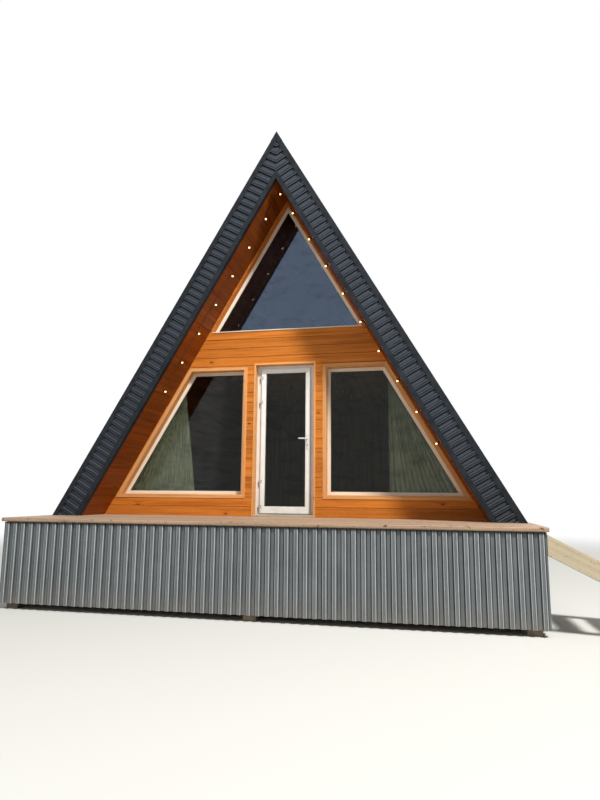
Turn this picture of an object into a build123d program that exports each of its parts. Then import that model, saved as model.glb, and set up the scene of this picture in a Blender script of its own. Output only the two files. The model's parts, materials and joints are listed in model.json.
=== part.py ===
"""A-frame cabin on a raised platform, with a terrace, a side stair and a glazed door in its front gable.

Millimetres. X runs across the front with +X on the right, Y from the terrace to the rear and Z up from the
ground. The origin is the foot of the middle post, on the ground.
"""

from math import cos, radians, sin, tan
import os

from build123d import *

# Platform
deck_top = 1080
deck_width = 6326
deck_board = 45
deck_nosing = 20
deck_edge_radius = 15
terrace_depth = 1620
house_length = 6400
gable_overhang = 680
roof_setback = 940
rear_margin = 40
joist_width = 50
joist_depth = 200
joist_count = 14
bearer_width = 100
bearer_depth = 200
post_width = 150
post_plate = 220
post_plate_thickness = 10
post_rows = 5

# Ribbed steel sheet and the skirting made of it
rib_pitch = 106
rib_valley = 44
rib_flank = 11
rib_height = 21
sheet_base = 3
roof_rib_pitch = 165
skirting_clearance = 72
skirting_gap = 5
rail_size = 50
rail_lift = 40
rail_joint = 2

# Roof, built up from the soffit face outwards
roof_pitch = 60
roof_margin = 53
lining_thickness = 28
rafter_depth = 245
rafter_width = 45
rafter_count = 14
roof_board = 50
flashing = 3
mitre_gap = 2
ridge_vent = 24
ridge_board_width = 45
sole_plate_height = 45
sheet_foot_gap = 5
ridge_flange = 170
verge_outer_width = 88
verge_inner_width = 98
verge_cover = 150
verge_return = 40

# Loft
loft_joist_depth = 195
loft_joist_underside = 2300
loft_board = 30

# Gable walls
wall_core = 160
cladding_thickness = 20
casing_width = 50
casing_thickness = 28
frame_face = 50
frame_depth = 70
frame_lip = 20
rebate = 12
pane_thickness = 28
pane_to_soffit = 112
pane_inner_x = 655
pane_sill = 350
pane_head = 2050
upper_pane_to_soffit = 68
upper_pane_sill = 2724

# Door
door_sill = 29
door_width = 810
door_height = 2135
door_member = 55
door_frame_depth = 70
leaf_overlap = 10
leaf_gap = 5
leaf_side_gap = 9
leaf_flange = 20
leaf_body = 45
leaf_stile = 67
hinge_heights = (87, 439, 1580, 1937)
hinge_length = 90
hinge_radius = 9
hinge_pin_radius = 4
hinge_pin_play = 0.1
hinge_end_play = 0.5
hinge_leaf_thickness = 3
hinge_leaf_width = 28
hinge_side_gap = 3
hinge_pin_length = 36
hinge_sides = 10
handle_height = 1095
handle_plate_width = 30
handle_plate_height = 210
handle_plate_thickness = 8
handle_stem_radius = 9
handle_reach = 45
handle_lever = 115
handle_lever_thickness = 14
handle_plate_chamfer = 6
handle_stem_sides = 8
lock_width = 10
lock_height = 17
lock_proud = 3
lock_drop = 92

# Stair on the right of the terrace
stair_pitch = 27.2
stair_offset = 30
stair_width = 890
stringer_thickness = 50
stringer_depth = 186
stringer_drop = 70
tread_count = 5
tread_depth = 240
tread_thickness = 40
tread_inset = 10
tread_start = 22
stringer_toe = 40

# Curtains drawn aside behind the lower windows
curtain_behind_wall = 20
curtain_depth = 60
curtain_play = 0.3
curtain_floor_gap = 15
left_curtain_foot = 1360
left_curtain_head = 1600
right_curtain_edge = 1460

# String lights along the soffit
lead_radius = 3
lead_bend = 30
lead_end = 10
lights_before_gable = 390
light_pitch = 478
ridge_light = 90
first_left_light = 508
first_right_light = 447
lights_left = 7
lights_right = 9
light_sides = 6
socket_radius = 10
socket_length = 26
bulb_radius = 17
bulb_length = 32
bulb_shoulder = 8

# Derived places
slope_sin = sin(radians(roof_pitch))
slope_cos = cos(radians(roof_pitch))
slope_tan = tan(radians(roof_pitch))
sheet_depth = sheet_base + rib_height
platform_length = terrace_depth + house_length + gable_overhang + rear_margin
y_front = -platform_length / 2
y_back = platform_length / 2
y_gable = y_front + terrace_depth
y_rear = y_gable + house_length
y_roof_front = y_front + roof_setback
y_roof_back = y_rear + gable_overhang
roof_middle = (y_roof_front + y_roof_back) / 2
frame_inset = sheet_depth + deck_nosing
frame_half = deck_width / 2 - frame_inset
frame_front = y_front + frame_inset
frame_back = y_back - frame_inset
joist_top = deck_top - deck_board
joist_bottom = joist_top - joist_depth
bearer_bottom = joist_bottom - bearer_depth
skirting_top = joist_top - skirting_gap
post_half_x = frame_half - rail_size - post_width / 2
post_half_y = frame_back - rail_size - post_width / 2
lining_top = lining_thickness
rafter_top = lining_top + rafter_depth
board_top = rafter_top + roof_board
crest_top = board_top + sheet_depth
verge_top = crest_top + flashing
soffit_half_width = deck_width / 2 - roof_margin - verge_top / slope_sin
fascia_stack = sheet_depth + flashing
roof_start = y_roof_front + fascia_stack
roof_end = y_roof_back - fascia_stack
rafter_step = (roof_end - roof_start - rafter_width) / (rafter_count - 1)
rafter_places = [roof_start + i * rafter_step for i in range(rafter_count)]
core_front = y_gable + cladding_thickness
core_back = core_front + wall_core
room_back = y_rear - cladding_thickness - wall_core
frame_recess = cladding_thickness + wall_core - frame_depth
door_front = core_back - door_frame_depth
door_top = deck_top + door_sill + door_height
door_half = door_width / 2
loft_joist_top = deck_top + loft_joist_underside + loft_joist_depth
loft_top = loft_joist_top + loft_board
frame_grow = frame_face
casing_grow = frame_face + casing_width
BACK = (0, 1, 0)

os.makedirs("parts", exist_ok=True)


def keep(piece, name):
    """Label a finished piece and write it to its own file."""
    piece.part.label = name
    export_step(piece.part, f"parts/{name}.step")


def gable_plane(y):
    """Upright plane across the house at y, seen from the front."""
    return Plane.XZ.offset(-y)


def rake_x(depth, z):
    """Half width at height z of the roof layer whose face lies depth outside the soffit face."""
    return soffit_half_width + depth / slope_sin - (z - deck_top) / slope_tan


def rake_z(depth, x):
    """Height at half width x of the roof layer whose face lies depth outside the soffit face."""
    return deck_top + (soffit_half_width + depth / slope_sin - x) * slope_tan


def rake_band(inner, outer, top_x, low_z=deck_top):
    """Outline of one roof layer on the right, mitred at top_x and level at its foot."""
    return [
        (rake_x(inner, low_z), low_z),
        (rake_x(outer, low_z), low_z),
        (top_x, rake_z(outer, top_x)),
        (top_x, rake_z(inner, top_x)),
    ]


def ribbed_outline(length, pitch):
    """Outline of a ribbed sheet with a flat back, along the first axis from 0 to length."""
    count = max(1, round(length / pitch))
    step = length / count
    crest = step - rib_valley - 2 * rib_flank
    points = [(0, 0), (0, sheet_base)]
    for i in range(count):
        rise = i * step + rib_valley / 2
        points.append((rise, sheet_base))
        points.append((rise + rib_flank, sheet_depth))
        points.append((rise + rib_flank + crest, sheet_depth))
        points.append((rise + 2 * rib_flank + crest, sheet_base))
    points.append((length, sheet_base))
    points.append((length, 0))
    return points


def side_window(side, grow):
    """Outline of a lower window beside the door, grown by grow from its visible glass."""
    inner = pane_inner_x - grow
    low = deck_top + pane_sill - grow
    high = deck_top + pane_head + grow
    depth = grow - pane_to_soffit
    return [
        (side * inner, low),
        (side * rake_x(depth, low), low),
        (side * rake_x(depth, high), high),
        (side * inner, high),
    ]


def upper_window(grow):
    """Outline of the triangular window of the loft, grown by grow from its visible glass."""
    low = deck_top + upper_pane_sill - grow
    depth = grow - upper_pane_to_soffit
    return [(-rake_x(depth, low), low), (rake_x(depth, low), low), (0, rake_z(depth, 0))]


def front_windows(grow):
    """Outlines of the three windows of the front gable."""
    return [side_window(-1, grow), side_window(1, grow), upper_window(grow)]


def rear_windows(grow):
    """Outline of the one window of the rear gable."""
    return [upper_window(grow)]


def gable_outline():
    """The whole triangle between the soffits and the deck."""
    return [(-soffit_half_width, deck_top), (soffit_half_width, deck_top), (0, rake_z(0, 0))]


def door_casing_outline(grow):
    """Door opening from the deck up, grown by grow at its sides and top."""
    half = door_half + grow
    return [(-half, deck_top), (half, deck_top), (half, door_top + grow), (-half, door_top + grow)]


def make_platform():
    """Posts, bearers, joists, rims, rails and boards that carry the house and the terrace."""
    step_y = 2 * post_half_y / (post_rows - 1)
    plate_bottom = bearer_bottom - post_plate_thickness
    with BuildPart() as posts:
        with BuildSketch(Plane.XY):
            with GridLocations(post_half_x, step_y, 3, post_rows):
                Rectangle(post_width, post_width)
        extrude(amount=plate_bottom)
        with BuildSketch(Plane.XY.offset(plate_bottom)):
            with GridLocations(post_half_x, step_y, 3, post_rows):
                Rectangle(post_plate, bearer_width)
        extrude(amount=post_plate_thickness)
    keep(posts, "posts")

    with BuildPart() as bearers:
        with BuildSketch(Plane.XY.offset(bearer_bottom)):
            with GridLocations(0, step_y, 1, post_rows):
                Rectangle(2 * frame_half, bearer_width)
        extrude(amount=bearer_depth)
    keep(bearers, "bearers")

    frame_length = frame_back - frame_front
    joist_step = (2 * frame_half - joist_width) / (joist_count - 1)
    with BuildPart() as joists:
        with BuildSketch(Plane.XY.offset(joist_bottom)):
            with GridLocations(joist_step, 0, joist_count, 1):
                Rectangle(joist_width, frame_length - 2 * joist_width)
        extrude(amount=joist_depth)
    keep(joists, "floor_joists")

    with BuildPart() as rails:
        with BuildSketch(Plane.XY.offset(joist_bottom)):
            with GridLocations(0, frame_length - joist_width, 1, 2):
                Rectangle(2 * frame_half, joist_width)
        extrude(amount=joist_depth)
        with BuildSketch(Plane.XY.offset(skirting_clearance + rail_lift)):
            with GridLocations(2 * frame_half - rail_size, 0, 2, 1):
                Rectangle(rail_size, frame_length)
            with GridLocations(0, frame_length - rail_size, 1, 2):
                Rectangle(2 * (frame_half - rail_size - rail_joint), rail_size)
        extrude(amount=rail_size)
    keep(rails, "edge_rails")

    with BuildPart() as terrace:
        with BuildSketch(Plane.XY.offset(joist_top)):
            with Locations((0, (y_front + y_gable) / 2)):
                Rectangle(deck_width, terrace_depth)
        extrude(amount=deck_board)
        nosing = terrace.edges().filter_by(Axis.X).group_by(Axis.Y)[0]
        fillet(nosing, radius=deck_edge_radius)
    keep(terrace, "terrace_deck")

    with BuildPart() as floor:
        with BuildSketch(Plane.XY.offset(joist_top)):
            with Locations((0, (y_gable + y_back) / 2)):
                Rectangle(deck_width, y_back - y_gable)
        extrude(amount=deck_board)
    keep(floor, "house_floor")


def make_skirting():
    """Ribbed sheets that close the space under the platform on its four sides."""
    height = skirting_top - skirting_clearance
    width = 2 * (frame_half + sheet_depth)
    length = frame_back - frame_front
    low_front = Plane((width / 2, frame_front, skirting_clearance), x_dir=(-1, 0, 0), z_dir=(0, 0, 1))
    with BuildPart() as skirting_front:
        with BuildSketch(low_front):
            Polygon(*ribbed_outline(width, rib_pitch), align=None)
        extrude(amount=height)
    keep(skirting_front, "skirting_front")

    with BuildPart() as skirting_rear:
        mirror(skirting_front.part, about=Plane.XZ)
    keep(skirting_rear, "skirting_rear")

    low_side = Plane((frame_half, frame_back, skirting_clearance), x_dir=(0, -1, 0), z_dir=(0, 0, 1))
    with BuildPart() as skirting_sides:
        with BuildSketch(low_side):
            Polygon(*ribbed_outline(length, rib_pitch), align=None)
        extrude(amount=height)
        mirror(about=Plane.YZ)
    keep(skirting_sides, "skirting_sides")


def make_roof():
    """Lining, rafters, ridge board, roof boards, ribbed sheets and ridge cap."""
    length = roof_end - roof_start
    with BuildPart() as lining:
        with BuildSketch(gable_plane(roof_start)):
            Polygon(*rake_band(0, lining_top, mitre_gap / 2), align=None)
        extrude(amount=length, dir=BACK)
        mirror(about=Plane.YZ)
    keep(lining, "roof_lining")

    plate_top = deck_top + sole_plate_height
    with BuildPart() as plates:
        with BuildSketch(gable_plane(roof_start)):
            Polygon(
                (rake_x(lining_top, deck_top), deck_top),
                (rake_x(rafter_top, deck_top), deck_top),
                (rake_x(rafter_top, plate_top), plate_top),
                (rake_x(lining_top, plate_top), plate_top),
                align=None,
            )
        extrude(amount=length, dir=BACK)
        mirror(about=Plane.YZ)
    keep(plates, "sole_plates")

    with BuildPart() as rafters:
        for y in rafter_places:
            with BuildSketch(gable_plane(y)):
                Polygon(*rake_band(lining_top, rafter_top, ridge_board_width / 2, plate_top), align=None)
        extrude(amount=rafter_width, dir=BACK)
        mirror(about=Plane.YZ)
    keep(rafters, "rafters")

    ridge_low = rake_z(lining_top, mitre_gap / 2)
    ridge_high = rake_z(rafter_top, ridge_board_width / 2)
    with BuildPart() as ridge_board:
        with BuildSketch(gable_plane(roof_start)):
            with Locations((0, (ridge_low + ridge_high) / 2)):
                Rectangle(ridge_board_width, ridge_high - ridge_low)
        extrude(amount=length, dir=BACK)
    keep(ridge_board, "ridge_board")

    with BuildPart() as boards:
        with BuildSketch(gable_plane(roof_start)):
            Polygon(*rake_band(rafter_top, board_top, ridge_vent / 2), align=None)
        extrude(amount=length, dir=BACK)
        mirror(about=Plane.YZ)
    keep(boards, "roof_boards")

    foot_z = deck_top + sheet_foot_gap
    foot_x = rake_x(board_top, foot_z)
    up_slope = Plane((foot_x, roof_end, foot_z), x_dir=(0, -1, 0), z_dir=(-slope_cos, 0, slope_sin))
    with BuildPart() as sheets:
        with BuildSketch(up_slope):
            Polygon(*ribbed_outline(length, roof_rib_pitch), align=None)
        extrude(amount=(foot_x - ridge_vent / 2) / slope_cos)
        mirror(about=Plane.YZ)
    keep(sheets, "roof_sheets")

    cap_foot_x = ridge_flange * slope_cos
    with BuildPart() as cap:
        with BuildSketch(gable_plane(y_roof_front)):
            Polygon(
                (0, rake_z(verge_top + flashing, 0)),
                (-cap_foot_x, rake_z(verge_top + flashing, cap_foot_x)),
                (-cap_foot_x, rake_z(verge_top, cap_foot_x)),
                (0, rake_z(verge_top, 0)),
                (cap_foot_x, rake_z(verge_top, cap_foot_x)),
                (cap_foot_x, rake_z(verge_top + flashing, cap_foot_x)),
                align=None,
            )
        extrude(amount=y_roof_back - y_roof_front, dir=BACK)
    keep(cap, "ridge_cap")


def make_verges():
    """Ribbed fascia strips and the plain trims along both edges of them, front and rear."""
    reach = rake_x(crest_top, deck_top) / slope_cos
    face = Plane((soffit_half_width, roof_start, deck_top), x_dir=(-slope_cos, 0, slope_sin),
                 z_dir=(slope_sin, 0, slope_cos))
    with BuildPart() as front_fascia:
        with BuildSketch(face):
            with Locations((-crest_top / slope_tan, 0)):
                Polygon(*ribbed_outline(reach + crest_top / slope_tan, rib_pitch), align=None)
        extrude(amount=crest_top)
        split(bisect_by=Plane.YZ.offset(mitre_gap / 2), keep=Keep.TOP)
        split(bisect_by=Plane.XY.offset(deck_top), keep=Keep.TOP)
        mirror(about=Plane.YZ)
    keep(front_fascia, "front_fascia")

    with BuildPart() as front_verges:
        with BuildSketch(gable_plane(y_roof_front)):
            Polygon(*rake_band(verge_top - verge_outer_width, verge_top, mitre_gap / 2), align=None)
            Polygon(*rake_band(-flashing, verge_inner_width, mitre_gap / 2), align=None)
        extrude(amount=flashing, dir=BACK)
        with BuildSketch(gable_plane(y_roof_front)):
            Polygon(*rake_band(crest_top, verge_top, mitre_gap / 2), align=None)
        extrude(amount=verge_cover, dir=BACK)
        with BuildSketch(gable_plane(y_roof_front)):
            Polygon(*rake_band(-flashing, 0, mitre_gap / 2), align=None)
        extrude(amount=fascia_stack + verge_return, dir=BACK)
        mirror(about=Plane.YZ)
    keep(front_verges, "front_verge_trims")

    far_side = Plane.XZ.offset(-roof_middle)
    with BuildPart() as rear_fascia:
        mirror(front_fascia.part, about=far_side)
    keep(rear_fascia, "rear_fascia")
    with BuildPart() as rear_verges:
        mirror(front_verges.part, about=far_side)
    keep(rear_verges, "rear_verge_trims")


def make_loft():
    """Loft joists between the soffits and the boards on them."""
    low = deck_top + loft_joist_underside
    inner = [y for y in rafter_places if core_back < y and y + rafter_width < room_back]
    with BuildPart() as loft_joists:
        for y in inner:
            with BuildSketch(gable_plane(y)):
                Polygon(
                    (-rake_x(0, low), low),
                    (rake_x(0, low), low),
                    (rake_x(0, loft_joist_top), loft_joist_top),
                    (-rake_x(0, loft_joist_top), loft_joist_top),
                    align=None,
                )
        extrude(amount=rafter_width, dir=BACK)
    keep(loft_joists, "loft_joists")

    with BuildPart() as loft_floor:
        with BuildSketch(gable_plane(core_back)):
            Polygon(
                (-rake_x(0, loft_joist_top), loft_joist_top),
                (rake_x(0, loft_joist_top), loft_joist_top),
                (rake_x(0, loft_top), loft_top),
                (-rake_x(0, loft_top), loft_top),
                align=None,
            )
        extrude(amount=room_back - core_back, dir=BACK)
    keep(loft_floor, "loft_floor")


def make_front_wall():
    """Wall cores beside and over the doorway, each with its window cut through."""
    for side, name in ((-1, "front_wall_left"), (1, "front_wall_right")):
        with BuildPart() as wall:
            with BuildSketch(gable_plane(core_front)):
                Polygon(
                    (side * door_half, deck_top),
                    (side * soffit_half_width, deck_top),
                    (side * rake_x(0, door_top), door_top),
                    (side * door_half, door_top),
                    align=None,
                )
                Polygon(*side_window(side, frame_grow), align=None, mode=Mode.SUBTRACT)
            extrude(amount=wall_core, dir=BACK)
        keep(wall, name)

    with BuildPart() as over:
        with BuildSketch(gable_plane(core_front)):
            Polygon(
                (-rake_x(0, door_top), door_top),
                (rake_x(0, door_top), door_top),
                (0, rake_z(0, 0)),
                align=None,
            )
            Polygon(*upper_window(frame_grow), align=None, mode=Mode.SUBTRACT)
        extrude(amount=wall_core, dir=BACK)
    keep(over, "front_wall_over")


def make_rear_wall():
    """Rear wall core, with the loft window cut through and no door."""
    with BuildPart() as wall:
        with BuildSketch(gable_plane(room_back)):
            Polygon(*gable_outline(), align=None)
            Polygon(*upper_window(frame_grow), align=None, mode=Mode.SUBTRACT)
        extrude(amount=wall_core, dir=BACK)
    keep(wall, "rear_wall")


def make_cladding(start_y, openings, name):
    """Boarding over one gable, cut back to the openings or to the casings round them."""
    with BuildPart() as cladding:
        with BuildSketch(gable_plane(start_y)):
            Polygon(*gable_outline(), align=None)
            for opening in openings:
                Polygon(*opening, align=None, mode=Mode.SUBTRACT)
        extrude(amount=cladding_thickness, dir=BACK)
    keep(cladding, name)


def make_casings():
    """Boards round the door and the lower windows, proud of the boarding."""
    with BuildPart() as casings:
        with BuildSketch(gable_plane(core_front - casing_thickness)):
            for side in (-1, 1):
                Polygon(*side_window(side, casing_grow), align=None)
            Polygon(*door_casing_outline(casing_width), align=None)
            Polygon(*door_casing_outline(0), align=None, mode=Mode.SUBTRACT)
            for side in (-1, 1):
                Polygon(*side_window(side, frame_grow), align=None, mode=Mode.SUBTRACT)
        extrude(amount=casing_thickness, dir=BACK)
    keep(casings, "front_casings")


def make_windows(front_y, inward, windows, name):
    """Fixed frames with a rebate behind the lip, and the panes that sit in them."""
    depth_dir = (0, inward, 0)
    with BuildPart() as frames:
        with BuildSketch(gable_plane(front_y)):
            for outline in windows(frame_grow):
                Polygon(*outline, align=None)
            for outline in windows(0):
                Polygon(*outline, align=None, mode=Mode.SUBTRACT)
        extrude(amount=frame_lip, dir=depth_dir)
        with BuildSketch(gable_plane(front_y + inward * frame_lip)):
            for outline in windows(frame_grow):
                Polygon(*outline, align=None)
            for outline in windows(rebate):
                Polygon(*outline, align=None, mode=Mode.SUBTRACT)
        extrude(amount=frame_depth - frame_lip, dir=depth_dir)
    keep(frames, f"{name}_window_frames")

    with BuildPart() as panes:
        with BuildSketch(gable_plane(front_y + inward * frame_lip)):
            for outline in windows(rebate):
                Polygon(*outline, align=None)
        extrude(amount=pane_thickness, dir=depth_dir)
    keep(panes, f"{name}_window_panes")


def door_rectangle(inset):
    """Centre and size of the door block, inset by inset all round."""
    centre = (0, deck_top + door_sill + door_height / 2)
    return centre, (door_width - 2 * inset, door_height - 2 * inset)


def make_door():
    """Threshold, frame, glazed leaf, hinges and handle of the entrance door, which opens outwards."""
    centre = door_rectangle(0)[0]
    with BuildPart() as threshold:
        with BuildSketch(Plane.XY.offset(deck_top)):
            with Locations((0, (y_gable + core_back) / 2)):
                Rectangle(door_width, core_back - y_gable)
        extrude(amount=door_sill)
    keep(threshold, "door_threshold")

    with BuildPart() as frame:
        with BuildSketch(gable_plane(door_front)):
            with Locations(centre):
                Rectangle(*door_rectangle(0)[1])
                Rectangle(*door_rectangle(door_member)[1], mode=Mode.SUBTRACT)
        extrude(amount=door_frame_depth, dir=BACK)
    keep(frame, "door_frame")

    leaf_inset = door_member - leaf_overlap
    glass_inset = leaf_inset + leaf_stile
    flange_y = door_front - leaf_gap - leaf_flange
    with BuildPart() as leaf:
        with BuildSketch(gable_plane(flange_y)):
            with Locations(centre):
                Rectangle(*door_rectangle(leaf_inset)[1])
                Rectangle(*door_rectangle(glass_inset)[1], mode=Mode.SUBTRACT)
        extrude(amount=leaf_flange, dir=BACK)
        with BuildSketch(gable_plane(flange_y + leaf_flange)):
            with Locations(centre):
                Rectangle(*door_rectangle(door_member + leaf_side_gap)[1])
                Rectangle(*door_rectangle(glass_inset - rebate)[1], mode=Mode.SUBTRACT)
        extrude(amount=leaf_body, dir=BACK)
    keep(leaf, "door_leaf")

    with BuildPart() as pane:
        with BuildSketch(gable_plane(flange_y + leaf_flange)):
            with Locations(centre):
                Rectangle(*door_rectangle(glass_inset - rebate)[1])
        extrude(amount=pane_thickness, dir=BACK)
    keep(pane, "door_pane")

    make_hinges(leaf_inset - door_half, flange_y)
    make_handle(door_half - leaf_inset - leaf_stile / 2, flange_y)


def make_hinges(leaf_edge, flange_y):
    """Four lift-off hinges: a knuckle with its pin on the frame and a knuckle on the leaf."""
    axis_side = hinge_radius + hinge_side_gap
    axis_x = leaf_edge - axis_side
    axis_y = flange_y + hinge_radius
    half = hinge_length / 2
    with BuildPart() as fixed:
        for height in hinge_heights:
            low = deck_top + door_sill + height - half
            with BuildSketch(Plane.XY.offset(low)):
                with Locations((axis_x, axis_y)):
                    RegularPolygon(hinge_radius, hinge_sides)
                with Locations((axis_x - hinge_leaf_width / 2, door_front - hinge_leaf_thickness / 2)):
                    Rectangle(hinge_leaf_width, hinge_leaf_thickness)
                with Locations((axis_x, (axis_y + door_front) / 2)):
                    Rectangle(hinge_radius, door_front - axis_y)
            extrude(amount=half)
            with BuildSketch(Plane.XY.offset(low + half)):
                with Locations((axis_x, axis_y)):
                    RegularPolygon(hinge_pin_radius, hinge_sides)
            extrude(amount=hinge_pin_length)
    keep(fixed, "hinges_on_frame")

    leaf_plate_y = flange_y - hinge_leaf_thickness / 2
    with BuildPart() as moving:
        for height in hinge_heights:
            low = deck_top + door_sill + height + hinge_end_play
            with BuildSketch(Plane.XY.offset(low)):
                with Locations((axis_x, axis_y)):
                    RegularPolygon(hinge_radius, hinge_sides)
                with Locations((axis_x + (axis_side + hinge_leaf_width) / 2, leaf_plate_y)):
                    Rectangle(axis_side + hinge_leaf_width, hinge_leaf_thickness)
                with Locations((axis_x, (axis_y + flange_y) / 2)):
                    Rectangle(hinge_radius, axis_y - flange_y + hinge_leaf_thickness)
                with Locations((axis_x, axis_y)):
                    RegularPolygon(hinge_pin_radius + hinge_pin_play, hinge_sides, major_radius=False,
                                   mode=Mode.SUBTRACT)
            extrude(amount=half - hinge_end_play)
    keep(moving, "hinges_on_leaf")


def make_handle(handle_x, flange_y):
    """Lever handles on long plates on both faces of the leaf, each with its lock cylinder below."""
    back_y = flange_y + leaf_flange + leaf_body
    pivot_z = deck_top + handle_height
    with BuildPart() as handle:
        for face_y, outward in ((flange_y, -1), (back_y, 1)):
            away = (0, outward, 0)
            plate_y = face_y + outward * handle_plate_thickness
            lever_y = plate_y + outward * (handle_reach - handle_lever_thickness)
            with BuildSketch(gable_plane(face_y)) as plate:
                with Locations((handle_x, pivot_z - lock_drop / 2)):
                    Rectangle(handle_plate_width, handle_plate_height)
                chamfer(plate.vertices(), length=handle_plate_chamfer)
            extrude(amount=handle_plate_thickness, dir=away)
            with BuildSketch(gable_plane(plate_y)):
                with Locations((handle_x, pivot_z - lock_drop)):
                    Rectangle(lock_width, lock_height)
            extrude(amount=lock_proud, dir=away)
            with BuildSketch(gable_plane(plate_y)):
                with Locations((handle_x, pivot_z)):
                    RegularPolygon(handle_stem_radius, handle_stem_sides)
            extrude(amount=handle_reach, dir=away)
            with BuildSketch(gable_plane(lever_y)):
                with Locations((handle_x - handle_lever / 2, pivot_z)):
                    Rectangle(handle_lever + 2 * handle_stem_radius, 2 * handle_stem_radius)
            extrude(amount=handle_lever_thickness, dir=away)
    keep(handle, "door_handle")


def make_stair():
    """Two stringers from the side of the terrace down to the ground, and the treads between them."""
    fall = tan(radians(stair_pitch))
    start_x = frame_half + sheet_depth
    start_z = deck_top - stringer_drop
    drop = stringer_depth / cos(radians(stair_pitch))
    first_nose = start_x + tread_start + tread_depth
    first_top = start_z - (first_nose - start_x) * fall - tread_inset
    last_top = first_top / tread_count
    toe_x = start_x + (start_z - tread_inset - last_top) / fall + stringer_toe
    foot_x = start_x + (start_z - drop) / fall
    near_y = y_front + stair_offset
    with BuildPart() as stringers:
        for y in (near_y, near_y + stair_width - stringer_thickness):
            with BuildSketch(gable_plane(y)):
                Polygon(
                    (start_x, start_z),
                    (start_x, start_z - drop),
                    (foot_x, 0),
                    (toe_x, 0),
                    (toe_x, start_z - (toe_x - start_x) * fall),
                    align=None,
                )
        extrude(amount=stringer_thickness, dir=BACK)
    keep(stringers, "stair_stringers")

    with BuildPart() as treads:
        for i in range(tread_count):
            top = first_top * (tread_count - i) / tread_count
            nose = start_x + (start_z - tread_inset - top) / fall
            with BuildSketch(gable_plane(near_y + stringer_thickness)):
                with Locations((nose - tread_depth / 2, top - tread_thickness / 2)):
                    Rectangle(tread_depth, tread_thickness)
        extrude(amount=stair_width - 2 * stringer_thickness, dir=BACK)
    keep(treads, "stair_treads")


def make_curtains():
    """Curtains that hang from the slopes to the floor, drawn aside behind the lower front windows."""
    low = deck_top + curtain_floor_gap
    drawn = ((-1, left_curtain_foot, left_curtain_head), (1, right_curtain_edge, right_curtain_edge))
    with BuildPart() as curtains:
        with BuildSketch(gable_plane(core_back + curtain_behind_wall)):
            for side, foot_x, head_x in drawn:
                Polygon(
                    (side * foot_x, low),
                    (side * rake_x(-curtain_play, low), low),
                    (side * head_x, rake_z(-curtain_play, head_x)),
                    align=None,
                )
        extrude(amount=curtain_depth, dir=BACK)
    keep(curtains, "curtains")


def soffit_plane(side, along):
    """Plane on the soffit at a slant distance from its ridge, with its normal into the room side."""
    y = y_gable - lights_before_gable
    x = along * slope_cos
    place = (side * x, y, rake_z(0, x))
    up = (-side * slope_cos, 0, slope_sin)
    return Plane(place, x_dir=up, z_dir=(-side * slope_sin, 0, -slope_cos))


def make_lights():
    """The lead of the string lights along both soffits with its moulded sockets, and the bulbs."""
    y = y_gable - lights_before_gable
    left_places = [ridge_light] + [first_left_light + i * light_pitch for i in range(lights_left)]
    right_places = [first_right_light + i * light_pitch for i in range(lights_right)]
    places = [soffit_plane(-1, along) for along in left_places]
    places += [soffit_plane(1, along) for along in right_places]
    ends = []
    for side, last in ((-1, left_places[-1]), (1, right_places[-1])):
        x = (last + lead_end) * slope_cos - lead_radius * slope_sin
        ends.append((side * x, y, rake_z(-lead_radius, x)))
    with BuildPart() as string:
        with BuildLine() as route:
            FilletPolyline(ends[0], (0, y, rake_z(-lead_radius, 0)), ends[1], radius=lead_bend)
        with BuildSketch(Plane(route.line @ 0, x_dir=BACK, z_dir=route.line % 0)):
            RegularPolygon(lead_radius, light_sides, major_radius=False)
        sweep()
        for place in places:
            with BuildSketch(place.offset(lead_radius)):
                RegularPolygon(socket_radius, light_sides)
            extrude(amount=lead_radius + socket_length)
    keep(string, "light_string")

    with BuildPart() as bulbs:
        for place in places:
            with BuildSketch(place.offset(2 * lead_radius + socket_length)):
                RegularPolygon(bulb_radius, light_sides)
            extrude(amount=bulb_length)
            ends = bulbs.faces(Select.LAST).sort_by(SortBy.AREA)[-2:]
            chamfer(ends.edges(), length=bulb_shoulder)
    keep(bulbs, "light_bulbs")


make_platform()
make_skirting()
make_roof()
make_verges()
make_loft()
make_front_wall()
make_rear_wall()
make_cladding(
    y_gable,
    [
        side_window(-1, casing_grow),
        side_window(1, casing_grow),
        upper_window(frame_grow),
        door_casing_outline(casing_width),
    ],
    "front_cladding",
)
make_cladding(y_rear - cladding_thickness, [upper_window(frame_grow)], "rear_cladding")
make_casings()
make_windows(y_gable + frame_recess, 1, front_windows, "front")
make_windows(y_rear - frame_recess, -1, rear_windows, "rear")
make_door()
make_stair()
make_curtains()
make_lights()
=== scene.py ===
"""Looks of an A-frame cabin: stained boards, ribbed steel, glazing, a plastic door, curtains and bulbs.

Metres. X runs across the front with +X on the right, Y from the terrace to the rear and Z up from the ground.
"""

import json
import math
import random

import bmesh
import bpy
from mathutils import Matrix, Vector


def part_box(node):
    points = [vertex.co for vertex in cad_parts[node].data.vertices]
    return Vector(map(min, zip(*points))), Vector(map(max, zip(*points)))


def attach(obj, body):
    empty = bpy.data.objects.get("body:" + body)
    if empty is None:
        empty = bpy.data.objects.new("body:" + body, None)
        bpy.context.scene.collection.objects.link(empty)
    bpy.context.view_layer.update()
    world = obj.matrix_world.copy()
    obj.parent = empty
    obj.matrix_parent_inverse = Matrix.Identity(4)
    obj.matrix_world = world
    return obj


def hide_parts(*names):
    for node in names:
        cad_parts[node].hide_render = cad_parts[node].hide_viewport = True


bl_info = {
    "name": "A-frame cabin finishes",
    "version": (1, 0, 0),
    "blender": (4, 5, 0),
    "location": "View3D > Sidebar > Cabin",
    "description": "Boards, sheet steel, glazing, fittings, lights and curtains of an A-frame cabin",
    "category": "Object",
}

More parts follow.
